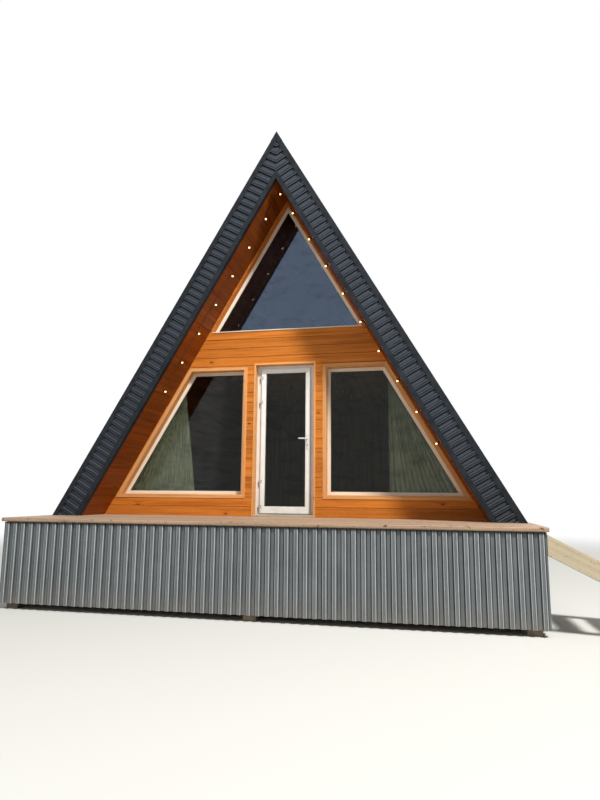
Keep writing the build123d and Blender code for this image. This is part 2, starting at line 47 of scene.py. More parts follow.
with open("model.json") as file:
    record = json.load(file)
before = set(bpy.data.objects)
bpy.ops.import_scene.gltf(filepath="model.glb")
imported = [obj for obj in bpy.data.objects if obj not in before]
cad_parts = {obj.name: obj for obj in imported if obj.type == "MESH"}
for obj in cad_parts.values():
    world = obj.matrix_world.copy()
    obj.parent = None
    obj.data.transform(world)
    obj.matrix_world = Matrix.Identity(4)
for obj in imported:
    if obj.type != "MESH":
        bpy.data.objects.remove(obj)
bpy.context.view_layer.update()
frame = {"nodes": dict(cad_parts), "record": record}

# Places taken from the frame, in metres
DECK_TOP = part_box("terrace_deck")[1].z
CLADDING_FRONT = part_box("front_cladding")[0].y
CASING_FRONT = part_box("front_casings")[0].y
SOFFIT_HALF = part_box("front_cladding")[1].x
PITCH = math.radians(60)
TAN = math.tan(PITCH)
SIN = math.sin(PITCH)
COS = math.cos(PITCH)
DOOR_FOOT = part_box("door_frame")[0].z
DOOR_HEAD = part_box("door_frame")[1].z
DOOR_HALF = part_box("door_frame")[1].x
DOOR_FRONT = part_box("door_frame")[0].y
LEAF_FRONT = DOOR_FRONT - 0.025
LEAF_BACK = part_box("door_leaf")[1].y
FRAME_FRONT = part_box("front_window_frames")[0].y
FRAME_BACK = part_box("front_window_frames")[1].y
CORE_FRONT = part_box("front_wall_over")[0].y
SKIRTING_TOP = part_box("skirting_front")[1].z

# Sizes of the finer pieces, in metres
PLAY = 0.0002  # between pieces that touch
SEAL_PLAY = 0.0003  # between a seal and the section that it lies on
SEAT_GAP = 0.0005  # between a lining and the frame behind it
SAME_PLACE = 1e-4
WELD = 1e-5
CUT = 1e-6
EASED = 0.003  # round of a planed or welded section's edges
FRAME_FACE = 0.05
FRAME_LIP = 0.02
REBATE = 0.012
SEAL_FACE = 0.005
SEAL_DEPTH = 0.006
CASING_FACE = 0.05
LINING = 0.004
PANE_SILL = 0.35
PANE_HEAD = 2.05
PANE_NEAR = 0.655
PANE_TO_SOFFIT = 0.112
UPPER_SILL = 2.724
UPPER_TO_SOFFIT = 0.068
DOOR_FLANGE = 0.025
FLANGE_BACK = DOOR_FRONT + 0.01
DOOR_MEMBER = 0.055
LEAF_FLANGE = 0.02
DECK_JOINT = 0.007
SOFFIT_JOINT = 0.003
FLOOR_PLANK = 0.14
FLOOR_JOINT = 0.002
NARROWEST_BOARD = 0.05
INNER_FLANGE = 0.064
OUTER_FLANGE = 0.070
RIB_PITCH = 0.106
ROOF_RIB_PITCH = 0.165
RIB_HEIGHT = 0.021
RIB_EDGE = 0.05  # shortest edge that counts as a rib's
FOLD_STRIP = 0.008  # widest strip that counts as a rounded fold
SHEET_SCREW = 0.006
SHEET_SCREW_HEIGHT = 0.004
SCREW_ROW = 0.6
NAIL = 0.004
NAIL_HEIGHT = 0.0012
PLEAT = 0.0225
CLOTH = 0.0012

SHARP = 0.3  # radians, the least turn of an edge that is eased
STEEPEST_FOLD = 1.4  # radians, the most turn of a rib's fold
HEAD_TAPER = 0.7
TURNED_SIDES = 14
GRAIN_SPREAD = 40  # how far apart boards are cut from the grain
ROOF_FRAME = ("rafters", "ridge_board", "roof_boards", "sole_plates", "loft_joists")


# Finishes


def srgb(red, green, blue, alpha=1.0):
    """Screen colour from 0 to 255 as the linear colour that a shader takes."""
    channels = []
    for value in (red, green, blue):
        value = value / 255
        channels.append(value / 12.92 if value <= 0.04045 else ((value + 0.055) / 1.055) ** 2.4)
    return (*channels, alpha)


class Graph:
    """Short calls for adding and linking a material's nodes."""

    def __init__(self, tree):
        self.tree = tree

    def node(self, kind, links=None, **settings):
        made = self.tree.nodes.new(kind)
        for name, value in settings.items():
            setattr(made, name, value)
        for socket, value in (links or {}).items():
            self.feed(made.inputs[socket], value)
        return made

    def feed(self, socket, value):
        if isinstance(value, bpy.types.NodeSocket):
            self.tree.links.new(value, socket)
        else:
            socket.default_value = value

    def math(self, operation, first, second=0.0, third=0.0, clamp=False):
        values = {0: first, 1: second, 2: third}
        return self.node("ShaderNodeMath", values, operation=operation, use_clamp=clamp).outputs[0]

    def ramp(self, value, low, high, to_low=0.0, to_high=1.0):
        """Smooth step of value from low to high."""
        made = self.node(
            "ShaderNodeMapRange",
            {0: value, 1: low, 2: high, 3: to_low, 4: to_high},
            interpolation_type="SMOOTHSTEP",
        )
        return made.outputs[0]

    def times(self, first, second, clamp=False):
        return self.math("MULTIPLY", first, second, clamp=clamp)

    def mix(self, factor, first, second):
        """Colour between two others, by the sockets of the mix node that hold colours."""
        made = self.node("ShaderNodeMix", data_type="RGBA")
        for socket, value in ((0, factor), (6, first), (7, second)):
            self.feed(made.inputs[socket], value)
        return made.outputs[2]

    def stretch(self, vector, *scale):
        """Vector scaled by three numbers, or by another vector's socket."""
        by = scale[0] if len(scale) == 1 else scale
        return self.node("ShaderNodeVectorMath", {0: vector, 1: by}, operation="MULTIPLY").outputs[0]

    def noise(self, vector, scale, detail=3.0, roughness=0.5, distortion=0.0):
        values = {
            "Vector": vector, "Scale": scale, "Detail": detail,
            "Roughness": roughness, "Distortion": distortion,
        }
        return self.node("ShaderNodeTexNoise", values).outputs[0]

    def height(self, vector):
        return self.node("ShaderNodeSeparateXYZ", {0: vector}).outputs[2]

    def shared(self, name, **values):
        """Shared effect placed with its own values, given by the names of its inputs."""
        values = {socket.replace("_", " "): value for socket, value in values.items()}
        made = self.node("ShaderNodeGroup", node_tree=group(name))
        for socket, value in values.items():
            self.feed(made.inputs[socket], value)
        return made.outputs

    def background_rays(self):
        """1 for rays that show the background: from the camera, mirrored, or let through by glass."""
        path = self.node("ShaderNodeLightPath").outputs
        seen = self.math("MAXIMUM", path["Is Camera Ray"], path["Is Glossy Ray"])
        return self.math("MAXIMUM", seen, path["Is Transmission Ray"])


def new_group(name, inputs, outputs):
    """Empty node group with named sockets, its graph, its inputs and a call that feeds its outputs."""
    tree = bpy.data.node_groups.new(name, "ShaderNodeTree")
    for socket, kind, value in inputs:
        made = tree.interface.new_socket(socket, in_out="INPUT", socket_type=kind)
        if value is not None:
            made.default_value = value
    for socket, kind in outputs:
        tree.interface.new_socket(socket, in_out="OUTPUT", socket_type=kind)
    graph = Graph(tree)
    entry = graph.node("NodeGroupInput")
    end = graph.node("NodeGroupOutput")
    return tree, graph, entry.outputs, end.inputs


def wood_grain_group():
    """Streaks, growth bands and knots of a board whose grain runs along the vector's X."""
    tree, graph, entry, end = new_group(
        "wood_grain",
        [
            ("Vector", "NodeSocketVector", None),
            ("Board", "NodeSocketFloat", 0.5),
            ("Light", "NodeSocketColor", (0.6, 0.3, 0.1, 1)),
            ("Dark", "NodeSocketColor", (0.3, 0.1, 0.03, 1)),
            ("Knot Colour", "NodeSocketColor", (0.1, 0.03, 0.01, 1)),
            ("Knots", "NodeSocketFloat", 1.0),
            ("Variation", "NodeSocketFloat", 0.3),
        ],
        [("Color", "NodeSocketColor"), ("Roughness", "NodeSocketFloat"), ("Height", "NodeSocketFloat")],
    )
    vector = entry["Vector"]
    spots = graph.node(
        "ShaderNodeTexVoronoi",
        {"Vector": graph.stretch(vector, 1.1, 2.1, 1.0), "Scale": 1.0},
        voronoi_dimensions="2D",
    )
    near = graph.ramp(spots.outputs["Distance"], 0.0, 0.2, 1.0, 0.0)
    knot = graph.times(graph.ramp(spots.outputs["Distance"], 0.016, 0.034, 1.0, 0.0), entry["Knots"])
    swerve = graph.node("ShaderNodeCombineXYZ", {1: graph.times(near, 0.03)})
    bent = graph.node("ShaderNodeVectorMath", {0: vector, 1: swerve.outputs[0]}, operation="ADD").outputs[0]
    fine = graph.noise(graph.stretch(bent, 3.0, 170.0, 1.0), 1.0, 3.0, 0.6)
    broad = graph.noise(graph.stretch(bent, 0.7, 22.0, 1.0), 1.0, 2.0, 0.5, 0.4)
    cloud = graph.noise(graph.stretch(vector, 1.6, 5.0, 1.0), 1.0, 2.0)
    streak = graph.math("ADD", graph.times(fine, 0.45), graph.times(broad, 0.55))
    dark = graph.ramp(streak, 0.4, 0.66)
    shade = graph.math("ADD", graph.times(dark, 0.62), graph.times(cloud, 0.3), clamp=True)
    colour = graph.mix(shade, entry["Light"], entry["Dark"])
    tone = graph.math("SUBTRACT", entry["Board"], 0.5)
    bright = graph.math("MULTIPLY_ADD", tone, entry["Variation"], 1.0)
    toned = graph.node("ShaderNodeHueSaturation", {"Color": colour, "Value": bright})
    halo = graph.times(graph.ramp(spots.outputs["Distance"], 0.02, 0.08, 0.45, 0.0), entry["Knots"])
    shaded = graph.mix(halo, toned.outputs[0], entry["Dark"])
    graph.feed(end["Color"], graph.mix(knot, shaded, entry["Knot Colour"]))
    graph.feed(end["Roughness"], graph.math("MULTIPLY_ADD", shade, 0.18, 0.5))
    graph.feed(end["Height"], graph.math("SUBTRACT", graph.times(streak, -1.0), graph.times(knot, 0.4)))
    return tree


def dust_group():
    """Mask of dust and splashed soil that thins out upwards from the low height to the high one."""
    tree, graph, entry, end = new_group(
        "ground_dust",
        [
            ("Vector", "NodeSocketVector", None),
            ("Low", "NodeSocketFloat", 0.0),
            ("High", "NodeSocketFloat", 0.4),
            ("Scale", "NodeSocketFloat", 6.0),
            ("Amount", "NodeSocketFloat", 1.0),
            ("Speck Scale", "NodeSocketFloat", 55.0),
            ("Speck Level", "NodeSocketFloat", 0.64),
        ],
        [("Mask", "NodeSocketFloat"), ("Specks", "NodeSocketFloat")],
    )
    vector = entry["Vector"]
    values = {0: graph.height(vector), 1: entry["Low"], 2: entry["High"], 3: 1.0, 4: 0.0}
    rise = graph.node("ShaderNodeMapRange", values).outputs[0]
    cloud = graph.noise(vector, entry["Scale"], 4.0, 0.65)
    broken = graph.times(graph.math("POWER", rise, 1.6), graph.ramp(cloud, 0.25, 0.7, 0.25, 1.0))
    graph.feed(end["Mask"], graph.times(broken, entry["Amount"], clamp=True))
    dots = graph.noise(vector, entry["Speck Scale"], 2.0, 0.7)
    level = entry["Speck Level"]
    graph.feed(end["Specks"], graph.ramp(dots, level, graph.math("ADD", level, 0.05)))
    return tree


def sheet_marks_group():
    """Runs of rain down a sheet and the faint cloudiness of its coating."""
    tree, graph, entry, end = new_group(
        "sheet_marks",
        [
            ("Vector", "NodeSocketVector", None),
            ("Along", "NodeSocketVector", (9.0, 9.0, 0.5)),
            ("Scale", "NodeSocketFloat", 4.0),
        ],
        [("Runs", "NodeSocketFloat"), ("Cloud", "NodeSocketFloat"), ("Height", "NodeSocketFloat")],
    )
    runs = graph.noise(graph.stretch(entry["Vector"], entry["Along"]), 2.4, 3.0, 0.6)
    graph.feed(end["Runs"], graph.ramp(runs, 0.42, 0.72))
    cloud = graph.noise(entry["Vector"], entry["Scale"], 4.0, 0.6)
    graph.feed(end["Cloud"], graph.ramp(cloud, 0.3, 0.7))
    graph.feed(end["Height"], graph.noise(entry["Vector"], 160.0, 2.0, 0.5))
    return tree


def edge_wear_group():
    """Mask of a form's edges where stain or coating has thinned, broken by noise."""
    tree, graph, entry, end = new_group(
        "edge_wear",
        [
            ("Vector", "NodeSocketVector", None),
            ("Sharpness", "NodeSocketFloat", 6.0),
            ("Amount", "NodeSocketFloat", 0.5),
        ],
        [("Mask", "NodeSocketFloat")],
    )
    pointed = graph.node("ShaderNodeNewGeometry").outputs["Pointiness"]
    edge = graph.times(graph.math("SUBTRACT", pointed, 0.5), entry["Sharpness"], clamp=True)
    cloud = graph.ramp(graph.noise(entry["Vector"], 22.0, 4.0, 0.7), 0.4, 0.65)
    graph.feed(end["Mask"], graph.times(graph.times(edge, cloud), entry["Amount"], clamp=True))
    return tree


GROUPS = {}


def group(name):
    """Shared node group, built the first time that it is asked for."""
    makers = {
        "wood_grain": wood_grain_group,
        "ground_dust": dust_group,
        "sheet_marks": sheet_marks_group,
        "edge_wear": edge_wear_group,
    }
    if name not in GROUPS:
        GROUPS[name] = makers[name]()
    return GROUPS[name]


def new_material(name, metallic=0.0, specular=0.5):
    """Material with a Principled shader, its graph and the shader's inputs."""
    material = bpy.data.materials.new(name)
    material.use_nodes = True
    tree = material.node_tree
    shader = tree.nodes["Principled BSDF"]
    shader.inputs["Metallic"].default_value = metallic
    shader.inputs["Specular IOR Level"].default_value = specular
    return material, Graph(tree), shader.inputs


def object_vector(graph, turn=(0.0, 0.0, 0.0)):
    """Object coordinates, turned so that the grain lies along X."""
    place = graph.node("ShaderNodeTexCoord").outputs["Object"]
    if not any(turn):
        return place
    turned = graph.node("ShaderNodeMapping", {"Vector": place, "Rotation": turn})
    return turned.outputs[0]


def bump(graph, inputs, height, strength, distance):
    """Feeds a surface's small relief to the shader."""
    made = graph.node("ShaderNodeBump", {"Height": height, "Strength": strength, "Distance": distance})
    graph.feed(inputs["Normal"], made.outputs[0])


def lay_dust(graph, place, dust, specks=(55.0, 0.64)):
    """Mask and specks of dust, and its colour.

    Dust is given as its low and high place, its amount and its colour, specks as their scale and level.
    """
    low, high, amount, soil = dust
    laid = graph.shared(
        "ground_dust", Vector=place, Low=low, High=high, Amount=amount,
        Speck_Scale=specks[0], Speck_Level=specks[1],
    )
    return laid["Mask"], laid["Specks"], soil


def wood_material(
    name, light, dark, knot, knots=1.0, variation=0.35, turn=None, gloss=0.0, dust=None,
    specks=(55.0, 0.64),
):
    """Timber finish: by the boards' own UV map, or by Object coordinates where a turn is given."""
    material, graph, inputs = new_material(name, specular=0.16)
    if turn is None:
        vector = graph.node("ShaderNodeUVMap", uv_map="grain").outputs[0]
        board = graph.node("ShaderNodeAttribute", attribute_name="board").outputs["Fac"]
    else:
        vector = object_vector(graph, turn)
        board = 0.5
    grain = graph.shared(
        "wood_grain", Vector=vector, Board=board, Light=light, Dark=dark, Knot_Colour=knot, Knots=knots,
        Variation=variation,
    )
    place = object_vector(graph)
    wear = graph.shared("edge_wear", Vector=place, Amount=0.35)
    colour = graph.mix(wear["Mask"], grain["Color"], light)
    if dust is not None:
        mask, dots, soil = lay_dust(graph, place, dust, specks)
        colour = graph.mix(mask, colour, soil)
        colour = graph.mix(graph.times(dots, 0.8), colour, srgb(62, 44, 32))
    graph.feed(inputs["Base Color"], colour)
    graph.feed(inputs["Roughness"], graph.math("SUBTRACT", grain["Roughness"], gloss))
    bump(graph, inputs, grain["Height"], 0.5, 0.0006)
    return material


def sheet_material(name, colour, pale, along, dust=None, rough=0.42, specular=0.12, folds=None, head=None):
    """Coated steel sheet with rain runs and dust near the ground.

    Folds are the colours of the painted highlight on outer folds and lightened valleys and of the painted
    shade in inner folds, on flanks and in darkened valleys, head the top of a band of painted shadow.
    """
    material, graph, inputs = new_material(name, specular=specular)
    place = object_vector(graph)
    marks = graph.shared("sheet_marks", Vector=place, Along=along)
    tint = graph.mix(graph.times(marks["Runs"], 0.45), colour, pale)
    tint = graph.mix(graph.times(marks["Cloud"], 0.25), tint, pale)
    wear = graph.shared("edge_wear", Vector=place, Amount=0.4)
    tint = graph.mix(wear["Mask"], tint, pale)
    # Painted highlight on outer folds and lightened valleys, painted shade in inner folds, on flanks and in
    # darkened valleys, by the fold attribute
    if folds is not None:
        painted_highlight, painted_shade = folds
        fold = graph.node("ShaderNodeAttribute", attribute_name="fold").outputs["Fac"]
        tint = graph.mix(graph.times(fold, 0.8, clamp=True), tint, painted_highlight)
        tint = graph.mix(graph.times(fold, -0.9, clamp=True), tint, painted_shade)
    # Painted shadow: the sheet darkens towards its top, up to the head
    if head is not None:
        painted_shadow_band = graph.ramp(graph.height(place), head - 0.035, head - 0.005, 0.0, 0.9)
        tint = graph.mix(painted_shadow_band, tint, srgb(22, 23, 24))
    roughness = graph.math("MULTIPLY_ADD", marks["Cloud"], 0.15, rough)
    if dust is not None:
        mask, dots, soil = lay_dust(graph, place, dust)
        tint = graph.mix(mask, tint, soil)
        tint = graph.mix(graph.times(graph.times(dots, mask), 0.6), tint, srgb(70, 58, 45))
        roughness = graph.math("ADD", roughness, graph.times(mask, 0.3), clamp=True)
    graph.feed(inputs["Base Color"], tint)
    graph.feed(inputs["Roughness"], roughness)
    bump(graph, inputs, marks["Height"], 0.12, 0.00015)
    return material


def plastic_material(name, colour, grime, rough=0.3):
    """Moulded or coated white finish with faint dirt in its cloudiness and at its foot."""
    material, graph, inputs = new_material(name)
    place = object_vector(graph)
    mask, _, soil = lay_dust(graph, place, (DECK_TOP, DECK_TOP + 0.5, 0.55, grime))
    cloud = graph.ramp(graph.noise(place, 9.0, 4.0, 0.6), 0.35, 0.75, 0.0, 0.14)
    graph.feed(inputs["Base Color"], graph.mix(mask, graph.mix(cloud, colour, grime), soil))
    graph.feed(inputs["Roughness"], graph.math("MULTIPLY_ADD", cloud, 0.6, rough))
    bump(graph, inputs, graph.noise(place, 240.0, 2.0), 0.08, 0.0003)
    return material


def glass_material(name, tint, shine, mirrored):
    """Clear glazing: shine is its index of refraction and mirrored the colour of what it mirrors."""
    material, graph, inputs = new_material(name)
    inputs["Transmission Weight"].default_value = 1.0
    inputs["IOR"].default_value = shine
    inputs["Specular Tint"].default_value = mirrored
    place = object_vector(graph)
    smear = graph.ramp(graph.noise(graph.stretch(place, 1.0, 1.0, 2.4), 3.0, 4.0, 0.6), 0.45, 0.8)
    graph.feed(inputs["Base Color"], graph.mix(smear, tint, srgb(150, 156, 146)))
    graph.feed(inputs["Roughness"], graph.times(smear, 0.05))
    bump(graph, inputs, graph.noise(place, 0.9, 2.0), 0.12, 0.004)
    return material


def cloth_material(name, light, dark):
    """Curtain cloth: a plain weave with thick and thin threads, by the sheet's own UV map."""
    material, graph, inputs = new_material(name, specular=0.2)
    vector = graph.node("ShaderNodeUVMap", uv_map="cloth").outputs[0]
    parts = graph.node("ShaderNodeSeparateXYZ", {0: vector})
    weft, warp = (graph.math("SINE", graph.times(parts.outputs[way], 4200.0)) for way in (0, 1))
    slub = graph.noise(graph.stretch(vector, 60.0, 4.0, 1.0), 1.0, 3.0)
    graph.feed(inputs["Base Color"], graph.mix(graph.ramp(slub, 0.35, 0.7), light, dark))
    inputs["Roughness"].default_value = 0.85
    inputs["Sheen Weight"].default_value = 0.3
    bump(graph, inputs, graph.times(weft, warp), 0.3, 0.0004)
    return material


def bulb_material(name, glow, strength):
    """Frosted bulb that glows warm, in two mottled tones."""
    material, graph, inputs = new_material(name)
    place = object_vector(graph)
    mottle = graph.ramp(graph.noise(place, 60.0, 2.0), 0.3, 0.7)
    graph.feed(inputs["Base Color"], graph.mix(mottle, srgb(255, 236, 200), srgb(250, 214, 160)))
    graph.feed(inputs["Emission Color"], graph.mix(mottle, glow, srgb(255, 214, 150)))
    inputs["Emission Strength"].default_value = strength
    inputs["Roughness"].default_value = 0.25
    return material


def rubber_material(name, colour):
    """Black seal or cable sheath, matt and slightly dusty."""
    material, graph, inputs = new_material(name, specular=0.3)
    place = object_vector(graph)
    dusty = graph.ramp(graph.noise(place, 30.0, 3.0), 0.45, 0.8)
    graph.feed(inputs["Base Color"], graph.mix(dusty, colour, srgb(78, 74, 68)))
    graph.feed(inputs["Roughness"], graph.math("MULTIPLY_ADD", dusty, 0.2, 0.6))
    bump(graph, inputs, graph.noise(place, 300.0, 2.0), 0.1, 0.0003)
    return material


def metal_material(name, colour, rough):
    """Bright fitting with brushed marks and dull patches."""
    material, graph, inputs = new_material(name, metallic=1.0)
    place = object_vector(graph)
    marks = graph.noise(graph.stretch(place, 900.0, 900.0, 40.0), 1.0, 2.0)
    dull = graph.ramp(graph.noise(place, 40.0, 3.0), 0.4, 0.75)
    graph.feed(inputs["Base Color"], graph.mix(dull, colour, srgb(120, 118, 114)))
    graph.feed(inputs["Roughness"], graph.math("MULTIPLY_ADD", dull, 0.25, rough))
    bump(graph, inputs, marks, 0.1, 0.0002)
    return material


MATERIALS = {}
ALONG_Y = (0.0, 0.0, math.radians(-90))


def make_materials(settings):
    """Every finish of the cabin, from the colours in the panel."""
    steel = tuple(settings.steel_colour)
    knot = srgb(92, 50, 22)
    soil = srgb(150, 134, 112)
    pine = dict(
        light=srgb(196, 160, 112), dark=srgb(160, 118, 74), knot=knot, knots=0.8, variation=0.2, turn=ALONG_Y,
    )
    finishes = {
        "wall_boards": (wood_material, dict(
            light=tuple(settings.wall_stain), dark=srgb(142, 68, 14), knot=srgb(84, 36, 8),
            knots=0.8, variation=0.32, gloss=0.06,
        )),
        # Darker than the wall stain: partly the boards' own stain and partly painted shade
        "soffit_boards": (wood_material, dict(
            light=tuple(settings.soffit_stain_and_shade), dark=srgb(92, 40, 8), knot=srgb(56, 24, 8),
            knots=0.8, variation=0.34, gloss=0.06,
        )),
        "casing_boards": (wood_material, dict(
            light=tuple(settings.casing_stain), dark=srgb(184, 116, 60), knot=srgb(124, 70, 30),
            knots=0.5, variation=0.15, gloss=0.06,
        )),
        "deck_boards": (wood_material, dict(
            light=tuple(settings.deck_colour), dark=srgb(132, 106, 86), knot=srgb(84, 60, 44),
            knots=0.9, variation=0.4,
            dust=(DECK_TOP - 0.05, DECK_TOP + 0.9, 0.3, srgb(150, 130, 112)), specks=(21.0, 0.625),
        )),
        "floor_boards": (wood_material, dict(
            light=srgb(176, 144, 112), dark=srgb(136, 106, 78), knot=knot,
            knots=0.8, variation=0.3, gloss=0.1,
        )),
        "frame_timber": (wood_material, dict(pine, dust=(0.0, 0.9, 0.6, soil))),
        "roof_timber": (wood_material, pine),
        "stair_timber": (wood_material, dict(
            light=tuple(settings.stair_colour), dark=srgb(156, 142, 118), knot=srgb(112, 66, 44),
            knots=1.0, variation=0.2, dust=(0.0, 0.6, 0.75, soil),
        )),
        "window_frames": (wood_material, dict(
            light=srgb(228, 218, 202), dark=srgb(208, 194, 172), knot=srgb(178, 156, 126),
            knots=0.25, variation=0.06,
        )),
        "threshold_timber": (wood_material, dict(
            light=srgb(178, 168, 154), dark=srgb(142, 130, 114), knot=srgb(110, 84, 62),
            knots=0.4, variation=0.1,
        )),
        "skirting_steel": (sheet_material, dict(
            colour=tuple(settings.skirting_colour), pale=srgb(118, 124, 127), along=(9.0, 9.0, 0.35),
            dust=(0.06, 0.42, 0.5, srgb(122, 114, 102)), rough=0.36, specular=0.3,
            # Fold colours are a painted highlight and a painted shade; the head sets a band of painted shadow
            # at the sheet's top
            folds=(srgb(176, 184, 186), srgb(30, 33, 36)), head=SKIRTING_TOP,
        )),
        "roof_steel": (sheet_material, dict(
            colour=steel, pale=srgb(44, 49, 54), along=(1.0, 9.0, 1.0), rough=0.5,
            # Fold colours are a painted highlight and a painted shade
            folds=(srgb(92, 98, 104), srgb(10, 11, 13)),
        )),
        "fascia_steel": (sheet_material, dict(
            colour=srgb(31, 36, 43), pale=srgb(53, 59, 68), along=(1.0, 9.0, 1.0),
            # Fold colours are a painted highlight and a painted shade
            folds=(srgb(90, 97, 106), srgb(8, 9, 11)),
        )),
        "trim_steel": (sheet_material, dict(
            colour=steel, pale=srgb(44, 49, 55), along=(3.0, 3.0, 3.0), rough=0.4,
        )),
        "post_steel": (sheet_material, dict(
            colour=srgb(58, 58, 60), pale=srgb(96, 84, 74), along=(6.0, 6.0, 0.6), dust=(0.0, 0.3, 0.9, soil),
        )),
        "window_glass": (glass_material, dict(
            tint=srgb(186, 190, 180), shine=1.28, mirrored=srgb(236, 240, 240),
        )),
        # The blue mirrored colour is a painted reflection of sky
        "upper_glass": (glass_material, dict(
            tint=srgb(180, 200, 224), shine=1.95, mirrored=srgb(186, 206, 236),
        )),
        "door_plastic": (plastic_material, dict(
            colour=tuple(settings.door_colour), grime=srgb(176, 172, 160),
        )),
        "door_fittings": (plastic_material, dict(
            colour=srgb(214, 216, 217), grime=srgb(150, 148, 142), rough=0.24,
        )),
        "door_hinges": (plastic_material, dict(
            colour=srgb(176, 178, 180), grime=srgb(116, 114, 110), rough=0.28,
        )),
        "curtain_fabric": (cloth_material, dict(
            light=tuple(settings.curtain_colour), dark=srgb(168, 173, 154),
        )),
        "light_cable": (rubber_material, dict(colour=srgb(52, 30, 18))),
        "light_bulbs": (bulb_material, dict(glow=srgb(255, 190, 120), strength=4.5)),
        "seals": (rubber_material, dict(colour=srgb(30, 31, 32))),
        "screws": (metal_material, dict(colour=srgb(176, 178, 180), rough=0.3)),
    }
    for name, (maker, values) in finishes.items():
        MATERIALS[name] = maker(name, **values)


# Shapes


def add_piece(name, shape, finish, body="house", replaced=(), smooth=False):
    """Turns a bmesh into a piece that rides on a body and takes a finish."""
    mesh = bpy.data.meshes.new(name)
    shape.to_mesh(mesh)
    shape.free()
    for polygon in mesh.polygons:
        polygon.use_smooth = smooth
    mesh.materials.append(MATERIALS[finish])
    piece = bpy.data.objects.new(name, mesh)
    bpy.context.scene.collection.objects.link(piece)
    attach(piece, body)
    if replaced:
        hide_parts(*replaced)
    return piece


def merged_copy(node):
    """Closed bmesh of a CAD node, its flat faces whole again."""
    shape = bmesh.new()
    shape.from_mesh(frame["nodes"][node].data)
    bmesh.ops.remove_doubles(shape, verts=shape.verts, dist=WELD)
    bmesh.ops.dissolve_limit(shape, angle_limit=math.radians(0.5), verts=shape.verts, edges=shape.edges)
    return shape


def bisect(shape, place, normal, geom=None, clear_outer=False):
    """Cuts a whole shape, or a part of it, by a plane."""
    geom = geom or [*shape.verts, *shape.edges, *shape.faces]
    bmesh.ops.bisect_plane(
        shape, geom=geom, dist=CUT, plane_co=place, plane_no=normal, clear_outer=clear_outer,
    )


def close_cuts(shape):
    """Fills every open rim."""
    bmesh.ops.holes_fill(shape, edges=[edge for edge in shape.edges if edge.is_boundary], sides=0)


def cut_joints(shape, across, places, gap):
    """Cuts a shape across a direction at each place: takes a narrow strip out and closes both sides."""
    for place in places:
        for side in (-gap / 2, gap / 2):
            bisect(shape, across * (place + side), across)
        reach = gap / 2 - WELD
        depths = {face: face.calc_center_median().dot(across) for face in shape.faces}
        strip = [face for face, depth in depths.items() if abs(depth - place) < reach]
        bmesh.ops.delete(shape, geom=strip, context="FACES")
        close_cuts(shape)


def keep_faces(shape, kept):
    """Keeps the faces whose middle passes the test."""
    away = [face for face in shape.faces if not kept(face.calc_center_median())]
    bmesh.ops.delete(shape, geom=away, context="FACES")


def lies_at(edge, axis, place):
    """Whether both ends of an edge are at a place on an axis."""
    return all(abs(getattr(vert.co, axis) - place) < SAME_PLACE for vert in edge.verts)


def islands(shape):
    """Lists of faces that hang together, in the mesh's own order."""
    left = set(shape.faces)
    found = []
    for start in shape.faces:
        if start not in left:
            continue
        left.discard(start)
        part = [start]
        queue = [start]
        while queue:
            for edge in queue.pop().edges:
                for other in edge.link_faces:
                    if other in left:
                        left.discard(other)
                        part.append(other)
                        queue.append(other)
        found.append(part)
    return found


def islands_of_node(node):
    """Points of each separate solid of a CAD node."""
    shape = merged_copy(node)
    found = []
    for part in islands(shape):
        found.append([vert.co.copy() for vert in dict.fromkeys(v for face in part for v in face.verts)])
    shape.free()
    return found


def grain_layers(shape):
    """Layers for the grain's UV map and for each board's tone."""
    return shape.loops.layers.uv.new("grain"), shape.faces.layers.float.new("board")


def lay_board(part, layers, chance, along, across):
    """Gives one board its own tone and its own place in the grain."""
    grain, tone = layers
    through = along.cross(across)
    offset_u = chance.uniform(0, GRAIN_SPREAD)
    offset_v = chance.uniform(0, GRAIN_SPREAD)
    value = chance.random()
    for face in part:
        face[tone] = value
        for loop in face.loops:
            place = loop.vert.co
            v = place.dot(across) + place.dot(through)
            loop[grain].uv = (place.dot(along) + offset_u, v + offset_v)


def middle_of(part):
    """Middle of a board's faces, rounded to a millimetre, to sort boards by."""
    middle = sum((face.calc_center_median() for face in part), Vector()) / len(part)
    return tuple(round(value, 3) for value in middle)


def lay_grain(shape, along, across, seed):
    """Lays the grain of boards that all run one way."""
    chance = random.Random(seed)
    layers = grain_layers(shape)
    for part in sorted(islands(shape), key=middle_of):
        lay_board(part, layers, chance, along, across)


def grain_by_member(shape, seed):
    """Lays the grain along each member's longest edge."""
    chance = random.Random(seed)
    layers = grain_layers(shape)
    for part in islands(shape):
        edges = [edge for face in part for edge in face.edges]
        longest = max(edges, key=lambda edge: round(edge.calc_length(), 5))
        along = (longest.verts[1].co - longest.verts[0].co).normalized()
        if max(along, key=abs) < 0:
            along.negate()
        across = along.cross(Vector((0, 1, 0)))
        if across.length <= 0.1:
            across = along.cross(Vector((0, 0, 1)))
        lay_board(part, layers, chance, along, across.normalized())


def round_edges(shape, edges, width, segments):
    """Bevels edges with an even round."""
    bmesh.ops.bevel(
        shape, geom=edges, offset=width, segments=segments, profile=0.5, material=-1, affect="EDGES",
        offset_type="OFFSET", clamp_overlap=True,
    )


def soften(shape, width, segments, chosen):
    """Rounds the chosen edges."""
    round_edges(shape, [edge for edge in shape.edges if chosen(edge)], width, segments)


def boards_from(node, name, finish, along, across, places, gap, seed, chosen=None, width=0.002):
    """Boards with open joints in the place of a CAD node that is one slab."""
    shape = merged_copy(node)
    cut_joints(shape, across, places, gap)
    if chosen is not None:
        soften(shape, width, 2, chosen)
    lay_grain(shape, along, across, seed)
    return add_piece(name, shape, finish, replaced=[node])


